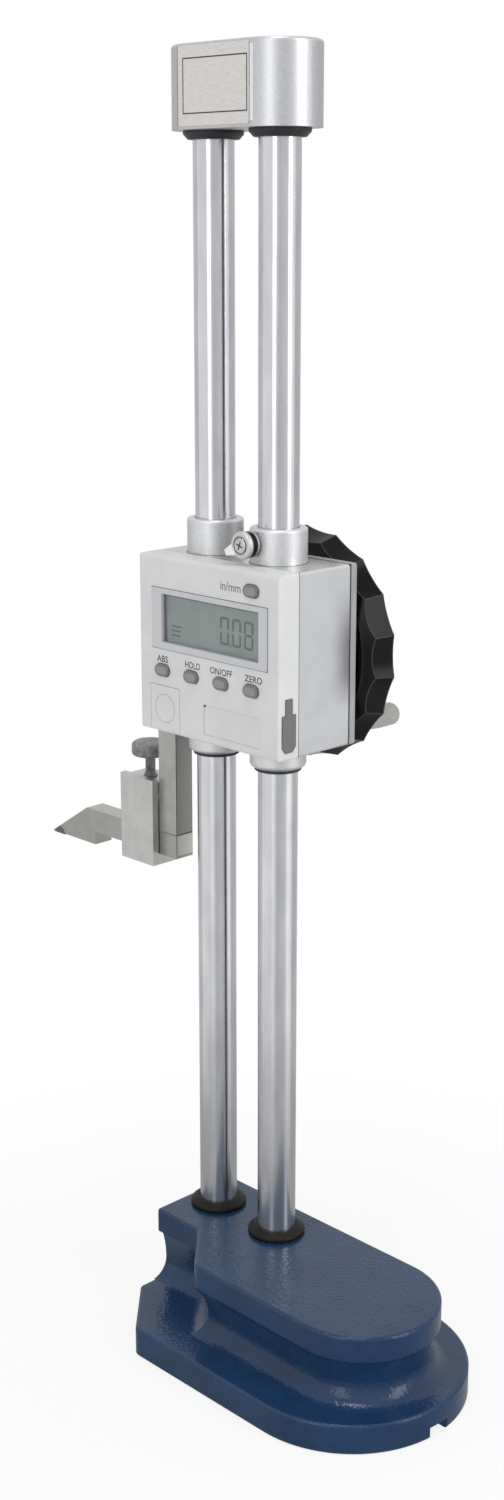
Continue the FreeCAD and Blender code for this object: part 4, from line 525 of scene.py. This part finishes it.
# Button legends, in the generic words of such instruments: their words, left and right edge, lower and
# upper edge above the case's foot, and ink
LEGENDS = {
    "abs_legend": ("ABS", -25.9, -19.8, 27.2, 29.7, DARK_INK_AND_SHADE),
    "hold_legend": ("HOLD", -10.3, -2.15, 27.2, 29.7, DARK_INK_AND_SHADE),
    "power_legend": ("ON/OFF", 3.25, 14.9, 27.2, 29.7, DARK_INK_AND_SHADE),
    "zero_legend": ("ZERO", 21.4, 30.4, 27.2, 29.7, DARK_INK_AND_SHADE),
    "units_legend": ("in/mm", 8.9, 19.4, 58.9, 62.2, PALE_INK_AND_SHADE),
}
STROKE_GROWTH = 0.012
FONT_DEPTH = 0.5


def printed_words(name, words, left, right, low, high, ink):
    """Print on the front cover that fills the given width and height."""
    curve = bpy.data.curves.new(name, "FONT")
    curve.body = words
    curve.extrude = FONT_DEPTH
    curve.offset = STROKE_GROWTH
    text = bpy.data.objects.new(name + "_curve", curve)
    bpy.context.scene.collection.objects.link(text)
    bpy.context.view_layer.update()
    mesh = bpy.data.meshes.new_from_object(text)
    bpy.data.objects.remove(text)
    bm = bmesh.new()
    bm.from_mesh(mesh)
    bpy.data.meshes.remove(mesh)
    xs = [v.co.x for v in bm.verts]
    ys = [v.co.y for v in bm.verts]
    wide = (right - left) * MM / (max(xs) - min(xs))
    tall = (high - low) * MM / (max(ys) - min(ys))
    bmesh.ops.translate(bm, verts=bm.verts, vec=(-min(xs), -min(ys), 0))
    bmesh.ops.transform(bm, verts=bm.verts, matrix=Matrix.Diagonal((wide, tall, INK_FILM * MM, 1.0)))
    bmesh.ops.rotate(bm, verts=bm.verts, matrix=Matrix.Rotation(math.pi / 2, 3, "X"))
    bmesh.ops.translate(bm, verts=bm.verts, vec=Vector((left, cover_face, case_bottom + low)) * MM)
    new_piece(name, bm, ink, "carriage")


for legend, row in LEGENDS.items():
    printed_words(legend, *row)


# Liquid crystal figures and the small bars beside them, above the case's foot
SEGMENTS = {"0": "abcdef", "8": "abcdefg"}
SEGMENT_WIDTH = 1.05
SEGMENT_GAP = 0.16
SEGMENT_DEPTH = 0.04
POINT_CUT = 0.42
FIGURES = ((6.5, "0"), (12.8, "0"), (19.1, "8"))
FIGURE_WIDE, FIGURE_TALL, FIGURE_FOOT = 4.8, 10.6, 38.1
DECIMAL_POINT = (11.65, 12.45, 0.8)
ICON_LEFT, ICON_TALL = -19.8, 0.7
ICON_BARS = ((40.9, -14.1), (39.2, -14.6), (37.5, -14.9))


def digit(bm, character, left, low, y):
    """Seven-segment figure whose bars have pointed ends."""
    thick, wide, tall, half = SEGMENT_WIDTH, FIGURE_WIDE, FIGURE_TALL, FIGURE_TALL / 2
    bars = {
        "a": (0, wide, tall - thick, tall),
        "b": (wide - thick, wide, half, tall),
        "c": (wide - thick, wide, 0, half),
        "d": (0, wide, 0, thick),
        "e": (0, thick, 0, half),
        "f": (0, thick, half, tall),
        "g": (0, wide, half - thick / 2, half + thick / 2),
    }
    for letter in SEGMENTS[character]:
        x0, x1, z0, z1 = bars[letter]
        if letter in "adg":
            x0, x1 = x0 + SEGMENT_GAP + thick / 3, x1 - SEGMENT_GAP - thick / 3
        else:
            z0, z1 = z0 + SEGMENT_GAP + thick / 4, z1 - SEGMENT_GAP - thick / 4
        made = bar(bm, left + x0, left + x1, y, y + SEGMENT_DEPTH, low + z0, low + z1)
        edges = dict.fromkeys(edge for vert in made for edge in vert.link_edges)
        deep = [e for e in edges if abs((e.verts[0].co - e.verts[1].co).normalized().y) > 0.9]
        bmesh.ops.bevel(bm, geom=deep, offset=POINT_CUT * thick * MM, offset_type="OFFSET", segments=1,
                        profile=0.5, affect="EDGES", material=-1)


lcd_face = corners("lcd_module")[0][1]
figure_y = lcd_face - SEGMENT_DEPTH
figure_foot = case_bottom + FIGURE_FOOT
digits = bmesh.new()
for figure_left, figure in FIGURES:
    digit(digits, figure, figure_left, figure_foot, figure_y)
point_left, point_right, point_tall = DECIMAL_POINT
bar(digits, point_left, point_right, figure_y, lcd_face, figure_foot, figure_foot + point_tall)
for icon_foot, icon_right in ICON_BARS:
    icon_z = case_bottom + icon_foot
    bar(digits, ICON_LEFT, icon_right, figure_y, lcd_face, icon_z, icon_z + ICON_TALL)
new_piece("lcd_digits", digits, SEGMENT_INK, "carriage")

# Shade that the deep window throws on the panel's left and upper edge: how far in from the window's own
# left, right, lower and upper edge it lies, how wide its two arms are, and how far off the panel
SHADE_LEFT, SHADE_RIGHT, SHADE_LOW, SHADE_HIGH = 3.8, 3.5, 1.5, 1.25
SHADE_WIDE, SHADE_TALL = 2.3, 1.8
SHADE_OFF, SHADE_THICK = 0.05, 0.005
window_low, window_high = corners("display_window")
shade_y = (lcd_face - SHADE_OFF, lcd_face - SHADE_OFF + SHADE_THICK)
shade_left = window_low[0] + SHADE_LEFT
shade_turn = shade_left + SHADE_WIDE
shade_low, shade_high = window_low[2] + SHADE_LOW, window_high[2] - SHADE_HIGH
new_piece("panel_shade", blocks(
    (shade_left, shade_turn, *shade_y, shade_low, shade_high),
    (shade_turn, window_high[0] - SHADE_RIGHT, *shade_y, shade_high - SHADE_TALL, shade_high),
), PANEL_SHADE, "carriage")

# Painted shade: a dark line around the display frame, in its gap
GAP = 0.2
film_y = (cover_face - INK_FILM, cover_face)
(x0, _, z0), (x1, _, z1) = corners("display_frame")
new_piece("display_gap_shade", blocks(
    (x0 - GAP, x1 + GAP, *film_y, z1, z1 + GAP),
    (x0 - GAP, x1 + GAP, *film_y, z0 - GAP, z0),
    (x0 - GAP, x0, *film_y, z0, z1),
    (x1, x1 + GAP, *film_y, z0, z1),
), DARK_INK_AND_SHADE, "carriage")

# Painted shade: a dark line in the gap around each button
BUTTONS = ("power_button", "zero_button", "hold_button", "abs_button", "units_button")
BUTTON_WIDE, BUTTON_TALL = 7.5, 4.65
BUTTON_GAP, GAP_OFF = 0.22, 0.015
rings = bmesh.new()
for button in BUTTONS:
    x, z, _ = middle(button)
    pill_ring(rings, x, cover_face - GAP_OFF, z, BUTTON_WIDE, BUTTON_TALL, BUTTON_GAP)
new_piece("button_gap_shade", rings, DARK_INK_AND_SHADE, "carriage")

# Locating pip at the corner of the bare name recess: its place, its foot and top radius, and its height
PIP_X, PIP_SUNK, PIP_Z = 0.1, 0.1, 14.3
PIP_FOOT, PIP_TOP, PIP_TALL = 0.55, 0.45, 0.24
pip = bmesh.new()
pip_place = Matrix.Translation(Vector((PIP_X, cover_face + PIP_SUNK, case_bottom + PIP_Z)) * MM)
bmesh.ops.create_cone(pip, cap_ends=True, segments=16, radius1=PIP_FOOT * MM, radius2=PIP_TOP * MM,
                      depth=PIP_TALL * MM, matrix=pip_place @ Matrix.Rotation(math.pi / 2, 4, "X"))
new_piece("recess_pip", pip, DARK_INK_AND_SHADE, "carriage")

# Painted shade of the clamp screw's cross recess, drawn as a flat dark cross
CROSS_REACH, CROSS_HALF = 1.6, 0.3
CROSS_TURN = math.radians(20)
x, z, head_y = middle("clamp_screw")
cross_y = (head_y - INK_FILM, head_y)
cross = blocks(
    (x - CROSS_REACH, x + CROSS_REACH, *cross_y, z - CROSS_HALF, z + CROSS_HALF),
    (x - CROSS_HALF, x + CROSS_HALF, *cross_y, z - CROSS_REACH, z - CROSS_HALF),
    (x - CROSS_HALF, x + CROSS_HALF, *cross_y, z + CROSS_HALF, z + CROSS_REACH),
)
bmesh.ops.rotate(cross, verts=cross.verts, cent=Vector((x, head_y, z)) * MM,
                 matrix=Matrix.Rotation(CROSS_TURN, 3, "Y"))
new_piece("clamp_screw_cross", cross, BLACK_INK_AND_SHADE, "clamp_lever")

# Shadow lines where the back plate and the front cover meet the case
PLATE_THICK, PLATE_LINE, PLATE_INSET = 2.9, 0.7, 2
SPLIT_FRONT, SPLIT_BACK = 0.1, 0.2
plate_low, plate_high = corners("back_plate")
plate_front = plate_high[1] - PLATE_THICK
plate_line = (plate_front - PLATE_LINE, plate_front)
side_film = (case_side, case_side + INK_FILM)
new_piece("back_plate_seam", blocks(
    (*side_film, *plate_line, case_bottom, case_top),
    (plate_low[0] + PLATE_INSET, case_side, *plate_line, case_top, case_top + INK_FILM),
), BLACK_INK_AND_SHADE, "carriage")
split = cover_high[1]
new_piece("front_cover_seam", blocks(
    (*side_film, split - SPLIT_FRONT, split + SPLIT_BACK, case_bottom, case_top),
), PALE_INK_AND_SHADE, "carriage")

# Dark line where the two bushes stand on the case, from just under their edge to just outside it
SHADOW_IN, SHADOW_OUT = 0.1, 0.3
bush_low, bush_high = corners("left_top_bush")
bush_radius = (bush_high[0] - bush_low[0]) / 2
shadow_radii = (bush_radius - SHADOW_IN, bush_radius + SHADOW_OUT)
contact = bmesh.new()
for column in ("rack_column", "plain_column"):
    level_ring(contact, middle(column)[0], case_top + INK_FILM, *shadow_radii)
new_piece("bush_contact_shadow", contact, BLACK_INK_AND_SHADE, "carriage")

# Painted shade in the joint between the jaw and the scriber under it, and on the jaw's front corner
JOINT_SIDE, JOINT_FRONT, JOINT_REACH, JAW_CORNER = 0.4, 0.2, 8, 0.35
(_, jaw_front, jaw_foot), (jaw_end, jaw_back, _) = corners("measuring_jaw")
end_film = (jaw_end, jaw_end + INK_FILM)
new_piece("jaw_joint_shade", blocks(
    (*end_film, jaw_front, jaw_back, jaw_foot, jaw_foot + JOINT_SIDE),
    (jaw_end - JOINT_REACH, jaw_end, jaw_front - INK_FILM, jaw_front, jaw_foot, jaw_foot + JOINT_FRONT),
    (*end_film, jaw_front, jaw_front + JAW_CORNER, jaw_foot, case_bottom),
), BLACK_INK_AND_SHADE, "carriage")

# Painted highlight: the scriber's ground end drawn lighter inside its edges, and painted shade on its front
# corner
SHANK_TALL, SHANK_CORNER = 8.3, 0.3
END_FRONT, END_INSET = 0.4, 0.1
(_, shank_front, _), (shank_end, shank_back, shank_top) = corners("scriber")
shank_foot = shank_top - SHANK_TALL
end_film = (shank_end, shank_end + INK_FILM)
new_piece("scriber_end_highlight", blocks(
    (*end_film, shank_front + END_FRONT, shank_back - END_INSET, shank_foot, shank_top - END_INSET),
), END_HIGHLIGHT, "scriber")
new_piece("scriber_end_edge", blocks(
    (*end_film, shank_front, shank_front + SHANK_CORNER, shank_foot, shank_top),
), BLACK_INK_AND_SHADE, "scriber")

# Painted light: a lighter face on each button, inside its edge of darker grey as painted shade
FACE_INSET = 0.9
face_size = (BUTTON_WIDE - 2 * FACE_INSET, BUTTON_TALL - 2 * FACE_INSET)
for button in BUTTONS:
    x, z, button_front = middle(button)
    painted_tone = bmesh.new()
    pill(painted_tone, x, button_front - THIN_FILM, z, *face_size, filled=True)
    new_piece(button + "_face", painted_tone, LIT_BUTTON_FACE, button)

# Painted shade on the rim of the thumb dimple in the battery cover, centred on the cell
DIMPLE_ACROSS, DIMPLE_LINE = 10.6, 0.3
x, z, _ = middle("battery_cell")
dimple = bmesh.new()
pill_ring(dimple, x, cover_face - THIN_FILM, z, DIMPLE_ACROSS, DIMPLE_ACROSS, DIMPLE_LINE)
new_piece("thumb_dimple_rim", dimple, RIM_SHADE, "battery_cover")

# Printed border on the cap's label, as far in from the label's edges as here
BORDER_LEFT, BORDER_RIGHT, BORDER_EVEN, BORDER_LINE = 2.7, 0.6, 4.0, 0.45
label_low, label_high = corners("cap_label_plate")
x0, x1 = label_low[0] + BORDER_LEFT, label_high[0] - BORDER_RIGHT
z0, z1 = label_low[2] + BORDER_EVEN, label_high[2] - BORDER_EVEN
label_y = (label_low[1] - INK_FILM, label_low[1])
new_piece("label_border", blocks(
    (x0, x1, *label_y, z0, z0 + BORDER_LINE),
    (x0, x1, *label_y, z1 - BORDER_LINE, z1),
    (x0, x0 + BORDER_LINE, *label_y, z0 + BORDER_LINE, z1 - BORDER_LINE),
    (x1 - BORDER_LINE, x1, *label_y, z0 + BORDER_LINE, z1 - BORDER_LINE),
), BLACK_INK_AND_SHADE, "stand")

# Edges of the label sheet: a thin painted shade on its left, and on its right a painted highlight of its
# bent edge
LEFT_SHADE = 0.35
GLINT_FROM, GLINT_TO, GLINT_DEPTH, GLINT_SHORT = 0.3, 1.7, 0.15, 1.0
new_piece("label_left_edge", blocks(
    (label_low[0], label_low[0] + LEFT_SHADE, *label_y, label_low[2], label_high[2]),
), PALE_INK_AND_SHADE, "stand")
cap_front = corners("top_cap")[0][1]
new_piece("label_right_glint", blocks(
    (label_high[0] + GLINT_FROM, label_high[0] + GLINT_TO, cap_front - INK_FILM, cap_front + GLINT_DEPTH,
     label_low[2] + GLINT_SHORT, label_high[2] - GLINT_SHORT),
), PAINTED_SHEET_GLINT, "stand")


# Studio


def paper_floor():
    """White paper sweep: keeps the object's shadow near it and fades to plain white.

    Metal sees a grey table near the object, and the studio through the floor farther off.
    """
    material, tree, place = start_finish("paper_floor")
    away = add(tree, "VectorMath", {0: place}, operation="LENGTH").outputs["Value"]
    rays = add(tree, "LightPath")
    fade = add(tree, "MapRange", {"Value": away, "From Min": 0.11, "From Max": 0.24, "To Min": 0.85})
    seen = add(tree, "Math", {0: fade, 1: rays.outputs["Is Camera Ray"]}, operation="MULTIPLY")
    far = add(tree, "MapRange", {"Value": away, "From Min": 0.16, "From Max": 0.34})
    glint = add(tree, "Math", {0: far, 1: rays.outputs["Is Glossy Ray"]}, operation="MULTIPLY")
    paper = add(tree, "BsdfDiffuse", {"Color": linear("#FAFAFA")})
    white = add(tree, "Emission", {"Color": linear("#FFFFFF"), "Strength": 1.0})
    grey = add(tree, "Emission", {"Color": linear("#FFFFFF"), "Strength": 0.42})
    bright = add(tree, "MixShader", {"Fac": seen, 1: paper, 2: white})
    near = add(tree, "MixShader", {"Fac": rays.outputs["Is Glossy Ray"], 1: bright, 2: grey})
    mixed = add(tree, "MixShader", {"Fac": glint, 1: near, 2: add(tree, "BsdfTransparent")})
    add(tree, "OutputMaterial", {"Surface": mixed})
    return material


FLOOR_HALF = 6.0
sheet = bmesh.new()
bmesh.ops.create_grid(sheet, x_segments=1, y_segments=1, size=FLOOR_HALF)
floor_mesh = bpy.data.meshes.new("floor")
sheet.to_mesh(floor_mesh)
sheet.free()
floor = bpy.data.objects.new("floor", floor_mesh)
bpy.context.scene.collection.objects.link(floor)
floor.data.materials.append(paper_floor())

# Brightness of the studio around the object, by compass angle in degrees from +X: soft boxes and grey cards
STUDIO_CARDS = [
    (-180, 0.66), (-152, 0.64), (-145, 0.96), (-118, 0.94), (-112, 0.96), (-82, 0.90), (-76, 0.98),
    (-66, 0.98), (-58, 0.76), (-47, 0.60), (-36, 0.64), (-30, 0.66), (-10, 0.70), (4, 0.78), (12, 1.12),
    (30, 1.12), (42, 0.78), (60, 0.60), (110, 0.62), (150, 0.66), (180, 0.66),
]
# The cards' ramp holds levels up to this, as shares of it
BRIGHTEST_CARD = 1.2
OVERHEAD = 0.9
# What lights everything that isn't metal: from below and from above
EVEN_LIGHT = (0.62, 0.44)


def studio_world():
    """White for the camera and through glass, cards and soft boxes for metal, an even light for the rest."""
    world = bpy.data.worlds.new("studio")
    world.use_nodes = True
    tree = world.node_tree
    tree.nodes.clear()
    rays = add(tree, "LightPath")
    direction = add(tree, "SeparateXYZ", {"Vector": add(tree, "TexCoord").outputs["Generated"]})
    height = direction.outputs["Z"]
    angle = add(tree, "Math", {0: direction.outputs["Y"], 1: direction.outputs["X"]}, operation="ARCTAN2")
    turn = add(tree, "MapRange", {"Value": angle, "From Min": -math.pi, "From Max": math.pi})
    cards = add(tree, "ValToRGB", {"Fac": turn})
    stops = cards.color_ramp.elements
    while len(stops) < len(STUDIO_CARDS):
        stops.new(0.5)
    for stop, (degrees, level) in zip(stops, STUDIO_CARDS):
        stop.position = (degrees + 180) / 360
        stop.color = [level / BRIGHTEST_CARD] * 3 + [1.0]
    around = add(tree, "Math", {0: cards, 1: BRIGHTEST_CARD}, operation="MULTIPLY")
    raised = add(tree, "MapRange", {"Value": height, "From Min": 0.02, "From Max": 0.3})
    metal = add(tree, "Mix", {0: raised, 2: around, 3: OVERHEAD}, data_type="FLOAT")
    below, above = EVEN_LIGHT
    even = add(tree, "MapRange", {"Value": height, "To Min": below, "To Max": above})
    lit = add(tree, "Mix", {0: rays.outputs["Is Glossy Ray"], 2: even, 3: metal}, data_type="FLOAT")
    open_view = {0: rays.outputs["Is Camera Ray"], 1: rays.outputs["Is Transmission Ray"]}
    clear = add(tree, "Math", open_view, operation="MAXIMUM")
    strength = add(tree, "Mix", {0: clear, 2: lit, 3: 1.0}, data_type="FLOAT")
    sky = add(tree, "Background", {"Color": linear("#FFFFFF"), "Strength": strength})
    add(tree, "OutputWorld", {"Surface": sky})
    bpy.context.scene.world = world


studio_world()

# Place and target in metres, width and height in metres, and watts
SOFT_LAMPS = {
    "right_softbox": ((1.45, 0.34, 0.9), (0, 0, 0.24), 0.5, 1.4, 8.0),
    "left_softbox": ((0.43, -1.41, 0.8), (0, 0, 0.24), 0.5, 1.4, 3.9),
    "top_softbox": ((0.1, -0.2, 1.7), (0, 0, 0.2), 0.4, 0.4, 4.0),
}
for lamp_name, (lamp_place, target, wide, tall, watts) in SOFT_LAMPS.items():
    lamp = bpy.data.lights.new(lamp_name, "AREA")
    lamp.shape = "RECTANGLE"
    lamp.size = wide
    lamp.size_y = tall
    lamp.energy = watts
    holder = bpy.data.objects.new(lamp_name, lamp)
    holder.location = lamp_place
    holder.rotation_euler = (Vector(target) - Vector(lamp_place)).to_track_quat("-Z", "Y").to_euler()
    bpy.context.scene.collection.objects.link(holder)

# Camera at the photograph's viewpoint: its lens, place, and tilt and turn in degrees
CAMERA_LENS = 46.73
CAMERA_PLACE = (0.51182, -0.49532, 0.42866)
CAMERA_TILT, CAMERA_TURN = 74.84, 45.78
camera_data = bpy.data.cameras.new("photo_view")
camera_data.sensor_width = 36.0
camera_data.lens = CAMERA_LENS
camera_data.clip_start = 0.01
camera = bpy.data.objects.new("photo_view", camera_data)
camera.location = CAMERA_PLACE
camera.rotation_euler = (math.radians(CAMERA_TILT), 0.0, math.radians(CAMERA_TURN))
bpy.context.scene.collection.objects.link(camera)
bpy.context.scene.camera = camera
bpy.context.scene.view_settings.view_transform = "Standard"
